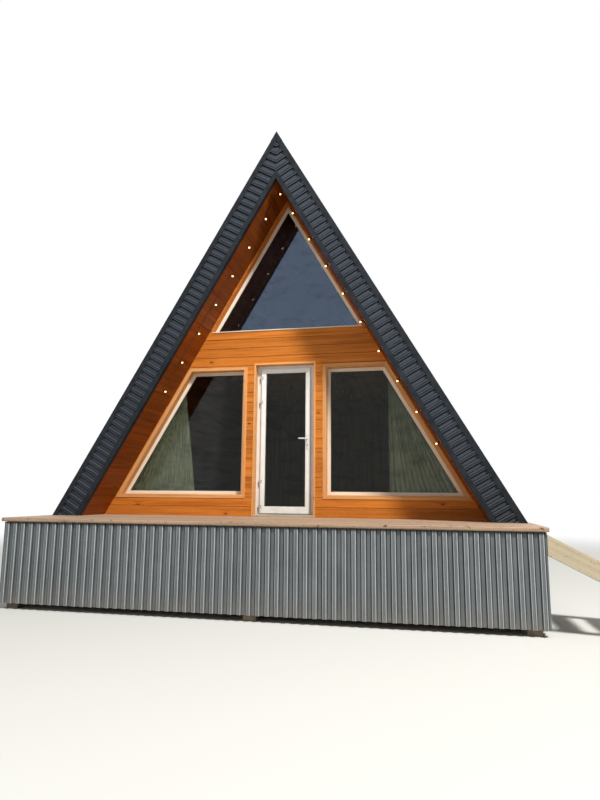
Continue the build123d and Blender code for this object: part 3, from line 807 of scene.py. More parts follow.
def steps(low, high, pitch):
    """Places from low to high, a pitch apart, without the two ends."""
    count = round((high - low) / pitch)
    return [low + (high - low) * i / count for i in range(1, count)]


def block(shape, low, high, bevel=0.0, segments=2):
    """Box between two corners with its edges rounded."""
    made = bmesh.ops.create_cube(shape, size=1.0)
    size = Vector(high) - Vector(low)
    place = Matrix.Translation((Vector(low) + Vector(high)) / 2) @ Matrix.Diagonal((*size, 1.0))
    bmesh.ops.transform(shape, matrix=place, verts=made["verts"])
    if bevel:
        edges = list(dict.fromkeys(edge for vert in made["verts"] for edge in vert.link_edges))
        round_edges(shape, edges, bevel, segments)


def screw_head(shape, place, outward, radius, height, sides=6):
    """Low head of a screw or nail, with its small end outwards."""
    turn = Vector(outward).to_track_quat("Z", "Y").to_matrix().to_4x4()
    bmesh.ops.create_cone(
        shape, cap_ends=True, cap_tris=False, segments=sides, depth=height,
        radius1=radius, radius2=radius * HEAD_TAPER,
        matrix=Matrix.Translation(Vector(place) + Vector(outward) * height / 2) @ turn,
    )


def mitred_ring(shape, inner, outer, front, back, closed=True):
    """Mitred members between two outlines in the XZ plane, each its own closed solid."""
    count = len(inner)
    for i in range(count if closed else count - 1):
        j = (i + 1) % count
        corners = [inner[i], inner[j], outer[j], outer[i]]
        verts = [shape.verts.new((x, front, z)) for x, z in corners]
        face = shape.faces.new(verts)
        made = bmesh.ops.extrude_face_region(shape, geom=[face])
        moved = [v for v in made["geom"] if isinstance(v, bmesh.types.BMVert)]
        bmesh.ops.translate(shape, verts=moved, vec=(0, back - front, 0))
    bmesh.ops.recalc_face_normals(shape, faces=shape.faces)


def disc_stack(shape, centre, axis, profile, sides=TURNED_SIDES):
    """Turned form: radii at places along an axis, spun into a closed solid."""
    axis = axis.normalized()
    side = axis.orthogonal().normalized()
    verts = [shape.verts.new(centre + axis * along + side * radius) for along, radius in profile]
    edges = [shape.edges.new(pair) for pair in zip(verts, verts[1:])]
    bmesh.ops.spin(
        shape, geom=verts + edges, cent=centre, axis=axis, angle=2 * math.pi, steps=sides, use_merge=True,
    )


def clean(*shapes):
    """Joins doubled points and turns every face outwards."""
    for shape in shapes:
        bmesh.ops.remove_doubles(shape, verts=shape.verts, dist=WELD)
        bmesh.ops.recalc_face_normals(shape, faces=shape.faces)


def span(face, outward, near, far):
    """Lowest and highest place of a form that stands out from a face, from a near depth to a far one."""
    return sorted((face + outward * near, face + outward * far))


def mark_folds(shape, painted_valley_tone):
    """Marks a ribbed sheet's faces for painted highlight (above 0) and painted shade (below 0): 1 on outer
    folds, -1 on inner ones, -0.5 on flanks, valleys as given.
    """
    layer = shape.faces.layers.float.new("fold")
    for face in shape.faces:
        sides = [
            edge for edge in face.edges if len(edge.link_faces) == 2 and edge.calc_length() > RIB_EDGE
        ]
        turns = [edge.calc_face_angle_signed() for edge in sides]
        turns = [math.copysign(1.0, turn) for turn in turns if 0.05 < abs(turn) < STEEPEST_FOLD]
        if len(turns) < 2:
            continue
        mean = sum(turns) / len(turns)
        if face.calc_area() / max(edge.calc_length() for edge in sides) < FOLD_STRIP:
            face[layer] = mean
        elif abs(mean) < 0.5:
            face[layer] = -0.5
        elif mean < 0:
            face[layer] = painted_valley_tone


def folded_copy(node, width, painted_valley_tone):
    """Copy of a ribbed sheet with the folds of its ribs rounded and marked for painted highlight and shade.
    """
    shape = merged_copy(node)

    def fold(edge):
        if len(edge.link_faces) != 2 or edge.calc_length() < RIB_EDGE:
            return False
        return SHARP < edge.calc_face_angle() < STEEPEST_FOLD

    soften(shape, width, 2, fold)
    mark_folds(shape, painted_valley_tone)
    return shape


def narrow_flanges(shape):
    """Cuts the front flanges of the verge trims back to their widths and closes the cuts."""
    for part in islands(shape):
        verts = list(dict.fromkeys(vert for face in part for vert in face.verts))
        side = math.copysign(1.0, sum(vert.co.x for vert in verts))
        square = Vector((side * SIN, 0, COS))
        soffit = SOFFIT_HALF * SIN + DECK_TOP * COS
        depths = [vert.co.dot(square) - soffit for vert in verts]
        inner = min(depths) < 0.01
        cut = min(depths) + INNER_FLANGE if inner else max(depths) - OUTER_FLANGE
        edges = dict.fromkeys(edge for face in part for edge in face.edges)
        bisect(
            shape, square * (soffit + cut), square if inner else -square,
            geom=[*verts, *edges, *part], clear_outer=True,
        )
        close_cuts(shape)


def soffit_x(z, inset=0.0):
    """Half width between the soffits at a height, less an inset square to the slope."""
    return SOFFIT_HALF - (z - DECK_TOP) / TAN - inset / SIN


def side_window_outline(side, grow):
    """Corners of the glass beside the door, grown evenly."""
    low = DECK_TOP + PANE_SILL - grow
    high = DECK_TOP + PANE_HEAD + grow
    near = PANE_NEAR - grow
    inset = PANE_TO_SOFFIT - grow
    return [
        (side * near, low), (side * soffit_x(low, inset), low),
        (side * soffit_x(high, inset), high), (side * near, high),
    ]


def upper_window_outline(grow):
    """Corners of the glass under the ridge, grown evenly."""
    low = DECK_TOP + UPPER_SILL - grow
    half = soffit_x(low, UPPER_TO_SOFFIT - grow)
    return [(-half, low), (half, low), (0, low + half * TAN)]


def door_outline(grow):
    """Corners of the opening in front of the door's flange, grown at its sides and top."""
    half = DOOR_HALF + DOOR_FLANGE + grow
    return [(-half, DECK_TOP), (-half, DOOR_HEAD + grow), (half, DOOR_HEAD + grow), (half, DECK_TOP)]


def door_block(inset, foot=None):
    """Corners of the door's block over its threshold, inset all round, or by another value at the foot."""
    half = DOOR_HALF - inset
    low = DOOR_FOOT + (inset if foot is None else foot)
    return [(-half, low), (-half, DOOR_HEAD - inset), (half, DOOR_HEAD - inset), (half, low)]


LOWER_WINDOWS = (
    lambda grow: side_window_outline(-1, grow),
    lambda grow: side_window_outline(1, grow),
)
FRONT_WINDOWS = (*LOWER_WINDOWS, upper_window_outline)


class CabinSettings(bpy.types.PropertyGroup):
    """Sizes and colours that a user would change."""

    wall_board: bpy.props.FloatProperty(
        name="Wall board", description="Height of one wall board", default=0.135, min=0.05, unit="LENGTH")
    soffit_board: bpy.props.FloatProperty(
        name="Soffit board", description="Width of one soffit board", default=0.112, min=0.05, unit="LENGTH")
    deck_board: bpy.props.FloatProperty(
        name="Deck board", description="Width of one terrace board", default=0.147, min=0.05, unit="LENGTH")
    board_gap: bpy.props.FloatProperty(
        name="Joint", description="Open joint between wall boards", default=0.005, min=0.001, unit="LENGTH")
    wall_stain: bpy.props.FloatVectorProperty(
        name="Wall stain", description="Colour of the wall boards", subtype="COLOR", size=4,
        default=srgb(202, 122, 46))
    # The soffit's colour is partly its stain and partly painted shade
    soffit_stain_and_shade: bpy.props.FloatVectorProperty(
        name="Soffit stain", description="Colour of the soffit boards", subtype="COLOR", size=4,
        default=srgb(138, 68, 14))
    casing_stain: bpy.props.FloatVectorProperty(
        name="Casing stain", description="Colour of the casings", subtype="COLOR", size=4,
        default=srgb(220, 164, 106))
    deck_colour: bpy.props.FloatVectorProperty(
        name="Deck", description="Colour of the terrace boards", subtype="COLOR", size=4,
        default=srgb(188, 160, 134))
    steel_colour: bpy.props.FloatVectorProperty(
        name="Roof steel", description="Colour of the roof sheets and trims", subtype="COLOR", size=4,
        default=srgb(22, 25, 29))
    skirting_colour: bpy.props.FloatVectorProperty(
        name="Skirting", description="Colour of the skirting sheet", subtype="COLOR", size=4,
        default=srgb(86, 90, 92))
    door_colour: bpy.props.FloatVectorProperty(
        name="Door", description="Colour of the door's sections", subtype="COLOR", size=4,
        default=srgb(226, 226, 222))
    stair_colour: bpy.props.FloatVectorProperty(
        name="Stair", description="Colour of the stair's timber", subtype="COLOR", size=4,
        default=srgb(184, 172, 148))
    curtain_colour: bpy.props.FloatVectorProperty(
        name="Curtains", description="Colour of the cloth", subtype="COLOR", size=4,
        default=srgb(206, 210, 192))
    soft_light: bpy.props.FloatProperty(
        name="Soft light", description="Strength of the light from all round", default=0.3, min=0.0, max=1.0)


class CABIN_OT_finishes(bpy.types.Operator):
    """Gives every part that keeps its own shape its finish"""

    bl_idname = "cabin.finishes"
    bl_label = "Finishes"

    def execute(self, context):
        make_materials(context.scene.cabin)
        slots = {row["slot"] for row in frame["record"]["materials"]}
        for name, node in frame["nodes"].items():
            if not node.data.materials:
                raise RuntimeError(f"{name} has no material slot")
            slot = node.data.materials[0].name.split(".")[0]
            if slot not in slots:
                raise RuntimeError(f"{name} has the slot {slot}")
            finish = "roof_timber" if name in ROOF_FRAME else slot
            node.material_slots[0].material = MATERIALS[finish]
        return {"FINISHED"}


class CABIN_OT_wall_boards(bpy.types.Operator):
    """Horizontal boards on both gables"""

    bl_idname = "cabin.wall_boards"
    bl_label = "Wall boards"

    def execute(self, context):
        settings = context.scene.cabin
        along = Vector((1, 0, 0))
        across = Vector((0, 0, 1))
        for node, name, front, seed in (
            ("front_cladding", "front_wall_boards", -1, 3),
            ("rear_cladding", "rear_wall_boards", 1, 4),
        ):
            low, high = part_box(node)
            count = int((high.z - low.z) / settings.wall_board)
            places = [low.z + settings.wall_board * i for i in range(1, count + 1)]
            places = [z for z in places if z < high.z - NARROWEST_BOARD]
            face_y = low.y if front < 0 else high.y

            def front_edge(edge, face_y=face_y):
                return lies_at(edge, "z", edge.verts[0].co.z) and lies_at(edge, "y", face_y)

            boards_from(
                node, name, "wall_boards", along, across, places,
                gap=settings.board_gap, seed=seed, chosen=front_edge, width=0.005,
            )
        return {"FINISHED"}


class CABIN_OT_soffit_boards(bpy.types.Operator):
    """Boards that run along the house under the roof"""

    bl_idname = "cabin.soffit_boards"
    bl_label = "Soffit boards"

    def execute(self, context):
        settings = context.scene.cabin
        for side, word, seed in ((-1, "left", 5), (1, "right", 6)):
            shape = merged_copy("roof_lining")
            keep_faces(shape, lambda middle, side=side: middle.x * side >= 0)
            across = Vector((side * COS, 0, -SIN))
            ends = [v.co.dot(across) for v in shape.verts]
            cut_joints(shape, across, steps(min(ends), max(ends), settings.soffit_board), SOFFIT_JOINT)
            lay_grain(shape, Vector((0, 1, 0)), across, seed)
            add_piece(f"soffit_boards_{word}", shape, "soffit_boards", replaced=["roof_lining"])
        return {"FINISHED"}


class CABIN_OT_deck_boards(bpy.types.Operator):
    """Boards of the terrace and of both floors"""

    bl_idname = "cabin.deck_boards"
    bl_label = "Deck boards"

    def execute(self, context):
        settings = context.scene.cabin
        along = Vector((1, 0, 0))
        across = Vector((0, 1, 0))
        low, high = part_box("terrace_deck")
        places = steps(low.y, high.y, settings.deck_board)

        def top_edge(edge):
            return lies_at(edge, "y", edge.verts[0].co.y) and lies_at(edge, "z", DECK_TOP)

        boards_from(
            "terrace_deck", "terrace_boards", "deck_boards", along, across, places,
            gap=DECK_JOINT, seed=8, chosen=top_edge, width=0.004,
        )
        for node, name, seed in (("house_floor", "floor_planks", 9), ("loft_floor", "loft_planks", 10)):
            low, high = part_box(node)
            places = steps(low.y, high.y, FLOOR_PLANK)
            boards_from(node, name, "floor_boards", along, across, places, gap=FLOOR_JOINT, seed=seed)
        return {"FINISHED"}


class CABIN_OT_casings(bpy.types.Operator):
    """Mitred casings round the lower windows and the door, with linings back to the frames"""

    bl_idname = "cabin.casings"
    bl_label = "Casings"

    def execute(self, context):
        shape = bmesh.new()
        for outline in LOWER_WINDOWS:
            mitred_ring(
                shape, outline(FRAME_FACE), outline(FRAME_FACE + CASING_FACE), CASING_FRONT, CORE_FRONT,
            )
        mitred_ring(
            shape, door_outline(0), door_outline(DOOR_FLANGE), CASING_FRONT, CORE_FRONT, closed=False,
        )
        soften(shape, EASED, 2, lambda edge: lies_at(edge, "y", CASING_FRONT))
        grain_by_member(shape, 12)
        add_piece("front_casing_boards", shape, "casing_boards", replaced=["front_casings"])

        half = DOOR_HALF + 2 * DOOR_FLANGE
        head = bmesh.new()
        block(
            head, (-half, CLADDING_FRONT, DOOR_HEAD + DOOR_FLANGE + PLAY),
            (half, CORE_FRONT - PLAY, DOOR_HEAD + 2 * DOOR_FLANGE - 0.001),
        )
        grain_by_member(head, 13)
        add_piece("door_head_board", head, "wall_boards")

        for side, word in ((-1, "left"), (1, "right")):
            wall = merged_copy(f"front_wall_{word}")
            for depth in (FLANGE_BACK, FLANGE_BACK - PLAY / 2):
                bisect(wall, (0, depth, 0), (0, 1, 0))
            edge = [
                vert for vert in wall.verts
                if abs(vert.co.x - side * DOOR_HALF) < SAME_PLACE and vert.co.y < FLANGE_BACK - PLAY / 4
            ]
            if not edge:
                raise RuntimeError(f"front_wall_{word} has no edge beside the door")
            bmesh.ops.translate(wall, verts=edge, vec=(side * DOOR_FLANGE, 0, 0))
            add_piece(f"front_wall_{word}_core", wall, "frame_timber", replaced=[f"front_wall_{word}"])

        lining = bmesh.new()
        inner = FRAME_FACE - LINING
        outer = FRAME_FACE - PLAY
        front = CASING_FRONT + LINING
        back = FRAME_FRONT - SEAT_GAP
        for outline in LOWER_WINDOWS:
            mitred_ring(lining, outline(inner), outline(outer), front, back)
        mitred_ring(
            lining, door_outline(-LINING), door_outline(-PLAY), front, DOOR_FRONT - SEAT_GAP, closed=False,
        )
        grain_by_member(lining, 14)
        add_piece("opening_linings", lining, "casing_boards")

        upper = bmesh.new()
        mitred_ring(upper, upper_window_outline(inner), upper_window_outline(outer), CLADDING_FRONT, back)
        grain_by_member(upper, 15)
        add_piece("upper_linings", upper, "wall_boards")

        sill = bmesh.new()
        _, (half, foot), _ = upper_window_outline(inner)
        nose = 0.012
        half -= nose
        block(sill, (-half, CLADDING_FRONT - nose, foot), (half, back, foot + 0.014), EASED)
        grain_by_member(sill, 16)
        add_piece("upper_sill", sill, "window_frames")

        low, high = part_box("door_threshold")
        step = bmesh.new()
        half = DOOR_HALF + DOOR_FLANGE - PLAY
        block(step, (-half, low.y, low.z), (half, FLANGE_BACK - PLAY, high.z), 0.006, 3)
        block(step, (low.x, FLANGE_BACK, low.z), high)
        grain_by_member(step, 17)
        add_piece("threshold_board", step, "threshold_timber", replaced=["door_threshold"])
        return {"FINISHED"}


class CABIN_OT_windows(bpy.types.Operator):
    """Mitred frames with black seals on both gables, and the panes of the front gable"""

    bl_idname = "cabin.windows"
    bl_label = "Windows"

    def execute(self, context):
        rear_low, rear_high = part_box("rear_window_frames")
        for name, outlines, front, back in (
            ("front", FRONT_WINDOWS, FRAME_FRONT, FRAME_BACK),
            ("rear", (upper_window_outline,), rear_high.y, rear_low.y),
        ):
            inward = math.copysign(1.0, back - front)
            lip = front + inward * FRAME_LIP
            frames = bmesh.new()
            seals = bmesh.new()
            for outline in outlines:
                mitred_ring(frames, outline(0.0), outline(FRAME_FACE), front, lip)
                mitred_ring(frames, outline(REBATE + PLAY), outline(FRAME_FACE), lip, back)
                mitred_ring(
                    seals, outline(-SEAL_FACE), outline(0.0),
                    lip - inward * SEAL_DEPTH, lip - inward * SEAL_PLAY,
                )
            soften(frames, EASED, 2, lambda edge, front=front: lies_at(edge, "y", front))
            grain_by_member(frames, 21)
            add_piece(f"{name}_frame_members", frames, "window_frames", replaced=[f"{name}_window_frames"])
            add_piece(f"{name}_pane_seals", seals, "seals")

        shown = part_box("front_window_panes")
        split = DECK_TOP + (PANE_HEAD + UPPER_SILL) / 2
        if not shown[0].z < split < shown[1].z:
            raise RuntimeError("the panes lie all on one side of the split between lower and upper glass")
        for name, finish, above in (
            ("lower_panes", "window_glass", False),
            ("upper_pane", "upper_glass", True),
        ):
            glass = merged_copy("front_window_panes")
            keep_faces(glass, lambda middle, above=above: (middle.z > split) == above)
            add_piece(name, glass, finish, replaced=["front_window_panes"])
        return {"FINISHED"}


class CABIN_OT_door(bpy.types.Operator):
    """Welded white sections of the door's frame and leaf, with their seals and beads"""

    bl_idname = "cabin.door"
    bl_label = "Door"

    def execute(self, context):
        def on(*places):
            return lambda edge: any(lies_at(edge, "y", place) for place in places)

        fixed = bmesh.new()
        frame_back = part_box("door_frame")[1].y
        half = DOOR_HALF + DOOR_FLANGE - PLAY
        flange = [(-half, DOOR_FOOT), (-half, DOOR_HEAD), (half, DOOR_HEAD), (half, DOOR_FOOT)]
        mitred_ring(fixed, door_block(DOOR_MEMBER), flange, DOOR_FRONT, FLANGE_BACK - PLAY)
        mitred_ring(fixed, door_block(DOOR_MEMBER), door_block(0.0), FLANGE_BACK - PLAY / 2, frame_back)
        soften(fixed, EASED, 3, on(DOOR_FRONT, frame_back))
        grain_by_member(fixed, 31)
        add_piece("door_frame_sections", fixed, "door_plastic", replaced=["door_frame"])

        # Insets from the edge of the door's block
        flange_edge, flange_inner, glass_edge, body_edge = 0.045, 0.100, 0.112, 0.064
        flange_back = LEAF_FRONT + LEAF_FLANGE
        step_front = LEAF_FRONT + 0.004
        body_back = LEAF_BACK - 0.002
        bead_back = LEAF_BACK - 0.004
        leaf = bmesh.new()
        mitred_ring(
            leaf, door_block(flange_inner), door_block(flange_edge, foot=0.016), LEAF_FRONT, flange_back,
        )
        mitred_ring(leaf, door_block(glass_edge), door_block(flange_inner), step_front, flange_back)
        mitred_ring(leaf, door_block(flange_inner + PLAY), door_block(body_edge), flange_back, body_back)
        soften(leaf, 0.0035, 3, on(LEAF_FRONT, step_front, body_back))
        beads = bmesh.new()
        mitred_ring(
            beads, door_block(glass_edge + 0.002), door_block(flange_inner + PLAY),
            LEAF_BACK - 0.016, bead_back,
        )
        soften(beads, 0.004, 3, on(bead_back))
        add_piece("door_leaf_sections", leaf, "door_plastic", body="door", replaced=["door_leaf"])
        add_piece("door_glazing_beads", beads, "door_plastic", body="door")

        seals = bmesh.new()
        mitred_ring(
            seals, door_block(glass_edge + SEAL_FACE), door_block(glass_edge),
            flange_back - 0.008, flange_back - SEAL_PLAY,
        )
        mitred_ring(
            seals, door_block(0.056), door_block(0.049),
            flange_back + SEAL_PLAY, flange_back + SEAL_PLAY + 0.0025,
        )
        add_piece("door_seals", seals, "seals", body="door")
        return {"FINISHED"}


class CABIN_OT_fittings(bpy.types.Operator):
    """Turned hinges and lever handles with their plates, screws and lock cylinders"""

    bl_idname = "cabin.fittings"
    bl_label = "Door fittings"

    def execute(self, context):
        joint = frame["record"]["behaviour"]["joints"][0]
        axis_x, axis_y = joint["pos_m"][:2]
        up = Vector((0, 0, 1))
        front = (0, -1, 0)
        barrel, chamfer, half_hinge, end_play = 0.0088, 0.002, 0.045, 0.0005
        plate, plate_edge, web, bush = 0.003, 0.0012, 0.0045, 0.0088
        frame_plate, leaf_plate = DOOR_FRONT - plate, LEAF_FRONT - plate
        screw, screw_end = 0.0035, 0.011
        parts = islands_of_node("hinges_on_leaf")
        if len(parts) != 4:
            raise RuntimeError(f"four hinges were looked for and {len(parts)} were found")
        fixed, moving, bush_fixed, bush_moving = (bmesh.new() for _ in range(4))
        screws_fixed, screws_moving = bmesh.new(), bmesh.new()
        for part in parts:
            foot = min(point.z for point in part)
            head = max(point.z for point in part)
            middle = foot - end_play
            low = middle - half_hinge
            for shape, start, end in ((fixed, low, middle), (moving, foot, head)):
                tall = end - start
                profile = [
                    (0.0, 0.0), (0.0, barrel - chamfer), (chamfer, barrel),
                    (tall - chamfer, barrel), (tall, barrel - chamfer), (tall, 0.0),
                ]
                disc_stack(shape, Vector((axis_x, axis_y, start)), up, profile)
            ring = [
                (0.0, 0.0), (0.0, 0.0098), (0.001, 0.0106),
                (bush - 0.001, 0.0106), (bush, 0.0098), (bush, 0.0),
            ]
            for shape, start in ((bush_fixed, middle - bush), (bush_moving, foot)):
                disc_stack(shape, Vector((axis_x, axis_y, start)), up, ring)
            block(
                fixed, (axis_x - 0.028, frame_plate, low), (axis_x + 0.001, DOOR_FRONT - PLAY, middle),
                plate_edge,
            )
            block(fixed, (axis_x - web, axis_y, low), (axis_x + web, DOOR_FRONT - 0.001, middle))
            block(moving, (axis_x, leaf_plate, foot), (axis_x + 0.040, LEAF_FRONT - PLAY, head), plate_edge)
            block(moving, (axis_x - web, leaf_plate + PLAY, foot), (axis_x + web, axis_y, head))
            for shape, x, y, ends in (
                (screws_fixed, axis_x - 0.019, frame_plate, (low + screw_end, middle - screw_end)),
                (screws_moving, axis_x + 0.028, leaf_plate, (foot + screw_end, head - screw_end)),
            ):
                for z in ends:
                    screw_head(shape, (x, y, z), front, screw, NAIL_HEIGHT, 8)
        clean(fixed, moving, bush_fixed, bush_moving)
        add_piece("frame_hinges", fixed, "door_hinges", replaced=["hinges_on_frame"])
        add_piece(
            "leaf_hinges", moving, "door_hinges", body="door", replaced=["hinges_on_leaf"],
        )
        add_piece("frame_hinge_bushes", bush_fixed, "seals")
        add_piece("leaf_hinge_bushes", bush_moving, "seals", body="door")
        add_piece("frame_hinge_screws", screws_fixed, "screws")
        add_piece("leaf_hinge_screws", screws_moving, "screws", body="door")

        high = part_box("door_handle")[1]
        plate_half, plate_above, plate_below = 0.015, 0.059, 0.151
        lever_half, lever_reach = 0.009, 0.1235
        key_drop, key_half = 0.092, 0.0045
        handle_x = high.x - plate_half
        pivot = high.z - plate_above
        neck = [
            (0.0075, 0.0), (0.0075, 0.0125), (0.011, 0.0115), (0.014, 0.0085), (0.046, 0.0085), (0.046, 0.0),
        ]
        cylinder = [(0.0075, 0.0), (0.0075, 0.0085), (0.0105, 0.0085), (0.011, 0.0075), (0.011, 0.0)]
        handle = bmesh.new()
        locks = bmesh.new()
        for face, outward in ((LEAF_FRONT, -1.0), (LEAF_BACK, 1.0)):
            axis = Vector((0, outward, 0))
            near, far = span(face, outward, PLAY, 0.008)
            block(
                handle, (handle_x - plate_half, near, pivot - plate_below),
                (handle_x + plate_half, far, pivot + plate_above), 0.0035, 3,
            )
            disc_stack(handle, Vector((handle_x, face, pivot)), axis, neck)
            near, far = span(face, outward, 0.0395, 0.0525)
            block(
                handle, (handle_x - lever_reach, near, pivot - lever_half),
                (handle_x + lever_half, far, pivot + lever_half), 0.0055, 3,
            )
            key = pivot - key_drop
            disc_stack(locks, Vector((handle_x, face, key)), axis, cylinder)
            near, far = span(face, outward, 0.0105, 0.0116)
            block(
                locks, (handle_x - 0.001, near, key - key_half), (handle_x + 0.001, far, key + key_half),
            )
        clean(handle, locks)
        add_piece("lever_handles", handle, "door_fittings", body="door", replaced=["door_handle"])
        add_piece("lock_cylinders", locks, "seals", body="door")
        return {"FINISHED"}


class CABIN_OT_steel(bpy.types.Operator):
    """Ribbed sheets with rounded folds, the trims of the verges, and the screws that hold the sheets"""

    bl_idname = "cabin.steel"
    bl_label = "Steel sheets"

    def execute(self, context):
        # Finish, slot, round of the folds and painted tone of the valleys, painted shade below 0 and painted
        # light above 0
        skirting = ("skirting_steel", "skirting_steel", 0.005, -0.06)
        fascia = ("fascia_steel", "roof_steel", 0.004, 0.35)
        for node, name, (finish, slot, width, painted_valley_tone) in (
            ("skirting_front", "skirting_sheet_front", skirting),
            ("skirting_rear", "skirting_sheet_rear", skirting),
            ("skirting_sides", "skirting_sheet_sides", skirting),
            ("front_fascia", "fascia_sheet_front", fascia),
            ("rear_fascia", "fascia_sheet_rear", fascia),
            ("roof_sheets", "roofing_sheets", ("roof_steel", "roof_steel", 0.004, -0.06)),
        ):
            add_piece(name, folded_copy(node, width, painted_valley_tone), finish, replaced=[node])
        for word in ("front", "rear"):
            trims = merged_copy(f"{word}_verge_trims")
            narrow_flanges(trims)
            add_piece(f"{word}_verge_flashings", trims, "trim_steel", replaced=[f"{word}_verge_trims"])

        heads = bmesh.new()
        for node, outward in (
            ("skirting_front", Vector((0, -1, 0))),
            ("skirting_rear", Vector((0, 1, 0))),
            ("skirting_sides", Vector((-1, 0, 0))),
            ("skirting_sides", Vector((1, 0, 0))),
        ):
            low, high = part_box(node)
            run = Vector((abs(outward.y), abs(outward.x), 0))
            face = low if min(outward) < 0 else high
            start = outward * (face.dot(outward) - RIB_HEIGHT) + run * low.dot(run)
            length = (high - low).dot(run)
            count = round(length / RIB_PITCH)
            for i in range(1, count, 2):
                for z in (low.z + 0.07, high.z - 0.06):
                    place = start + run * (i * length / count) + Vector((0, 0, z))
                    screw_head(heads, place, outward, SHEET_SCREW, SHEET_SCREW_HEIGHT)
        add_piece("skirting_screws", heads, "skirting_steel")

        roof = bmesh.new()
        low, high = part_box("roof_sheets")
        count = round((high.y - low.y) / ROOF_RIB_PITCH)
        step = (high.y - low.y) / count
        slope = (high.z - low.z) / SIN
        foot = high.x - RIB_HEIGHT * SIN
        rows = int(slope / SCREW_ROW)
        for side in (-1, 1):
            for row in range(rows + 1):
                up = 0.12 + row * (slope - 0.3) / rows
                x = side * (foot - up * COS)
                z = low.z + RIB_HEIGHT * COS + up * SIN
                for i in range(1, count):
                    place = (x, low.y + i * step, z)
                    screw_head(roof, place, (side * SIN, 0, COS), SHEET_SCREW, SHEET_SCREW_HEIGHT)
        add_piece("roof_screws", roof, "roof_steel")
        return {"FINISHED"}


class CABIN_OT_stair(bpy.types.Operator):
    """Planed stringers and treads with eased edges and their nails"""

    bl_idname = "cabin.stair"
    bl_label = "Stair"

    def execute(self, context):
        for node, name, seed in (
            ("stair_stringers", "stair_planks", 41),
            ("stair_treads", "stair_boards", 42),
        ):
            shape = merged_copy(node)
            soften(
                shape, 0.004, 2, lambda edge: len(edge.link_faces) == 2 and edge.calc_face_angle() > SHARP,
            )
            grain_by_member(shape, seed)
            add_piece(name, shape, "stair_timber", replaced=[node])
        nails = bmesh.new()
        low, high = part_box("stair_stringers")
        for part in islands_of_node("stair_treads"):
            near = min(point.x for point in part)
            middle = max(point.z for point in part) - 0.02
            for along in (0.06, 0.18):
                for y, outward in ((low.y, -1), (high.y, 1)):
                    screw_head(nails, (near + along, y, middle), (0, outward, 0), NAIL, NAIL_HEIGHT, 8)
        add_piece("stair_nails", nails, "screws")
        return {"FINISHED"}


class CABIN_OT_curtains(bpy.types.Operator):
    """Pleated curtains drawn aside behind the lower windows"""

    bl_idname = "cabin.curtains"
    bl_label = "Curtains"

    def execute(self, context):
        low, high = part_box("curtains")
        middle = (low.y + high.y) / 2
        foot = low.z + 0.002
        for name, side, inner_foot, inner_head, folds, held, flat, seed in (
            ("left_curtain", -1, 1.36, 1.6, 15, "gathered", (2.1, 1.95), 51),
            ("right_curtain", 1, 1.46, 1.46, 14, "hung", (1.9, 2.2), 52),
        ):
            top = DECK_TOP + (SOFFIT_HALF - inner_head) * TAN - 0.03
            chance = random.Random(seed)
            phases = [chance.uniform(0, 2 * math.pi) for _ in range(3)]
            cloth = bmesh.new()
            bmesh.ops.create_grid(cloth, x_segments=folds * 12, y_segments=40, size=0.5)
            layer = cloth.loops.layers.uv.new("cloth")
            for vert in cloth.verts:
                u = vert.co.x + 0.5
                v = vert.co.y + 0.5
                z = foot + (top - foot) * v
                inner = inner_foot + (inner_head - inner_foot) * v
                outer = soffit_x(z, 0.012)
                x = inner + (outer - inner) * u
                # Pleats sway with the height, and their spacing and depth vary across the cloth
                sway = 0.35 * math.sin(3.1 * v + phases[0]) + 0.2 * math.sin(7.3 * v + phases[1])
                turn = 2 * math.pi * folds * (u + 0.012 * math.sin(5.0 * u + phases[2]))
                swell = 0.62 + 0.38 * math.sin(2.0 * u * folds + phases[1])
                depth = PLEAT * swell * math.sin(turn + sway)
                vert.co = Vector((side * x, middle + depth, z))
            for face in cloth.faces:
                for loop in face.loops:
                    loop[layer].uv = (loop.vert.co.x, loop.vert.co.z)
            area = sum(face.calc_area() for face in cloth.faces)
            bmesh.ops.recalc_face_normals(cloth, faces=cloth.faces)
            bmesh.ops.solidify(cloth, geom=cloth.faces[:], thickness=CLOTH)
            piece = add_piece(name, cloth, "curtain_fabric", replaced=["curtains"], smooth=True)
        return {"FINISHED"}


class CABIN_OT_lights(bpy.types.Operator):
    """Bulbs of the string of lights along both soffits"""

    bl_idname = "cabin.lights"
    bl_label = "Lights"

    def execute(self, context):
        bulbs = bmesh.new()
        profile = [
            (-0.012, 0.0), (-0.012, 0.005), (-0.008, 0.009), (-0.002, 0.011),
            (0.004, 0.010), (0.0085, 0.006), (0.0105, 0.0),
        ]
        for part in islands_of_node("light_bulbs"):
            centre = sum(part, Vector()) / len(part)
            lean = -math.copysign(SIN, centre.x) if abs(centre.x) > 0.01 else 0.0
            disc_stack(bulbs, centre, Vector((lean, 0, -COS)), profile, 16)
        clean(bulbs)
        add_piece("string_bulbs", bulbs, "light_bulbs", replaced=["light_bulbs"], smooth=True)
        return {"FINISHED"}


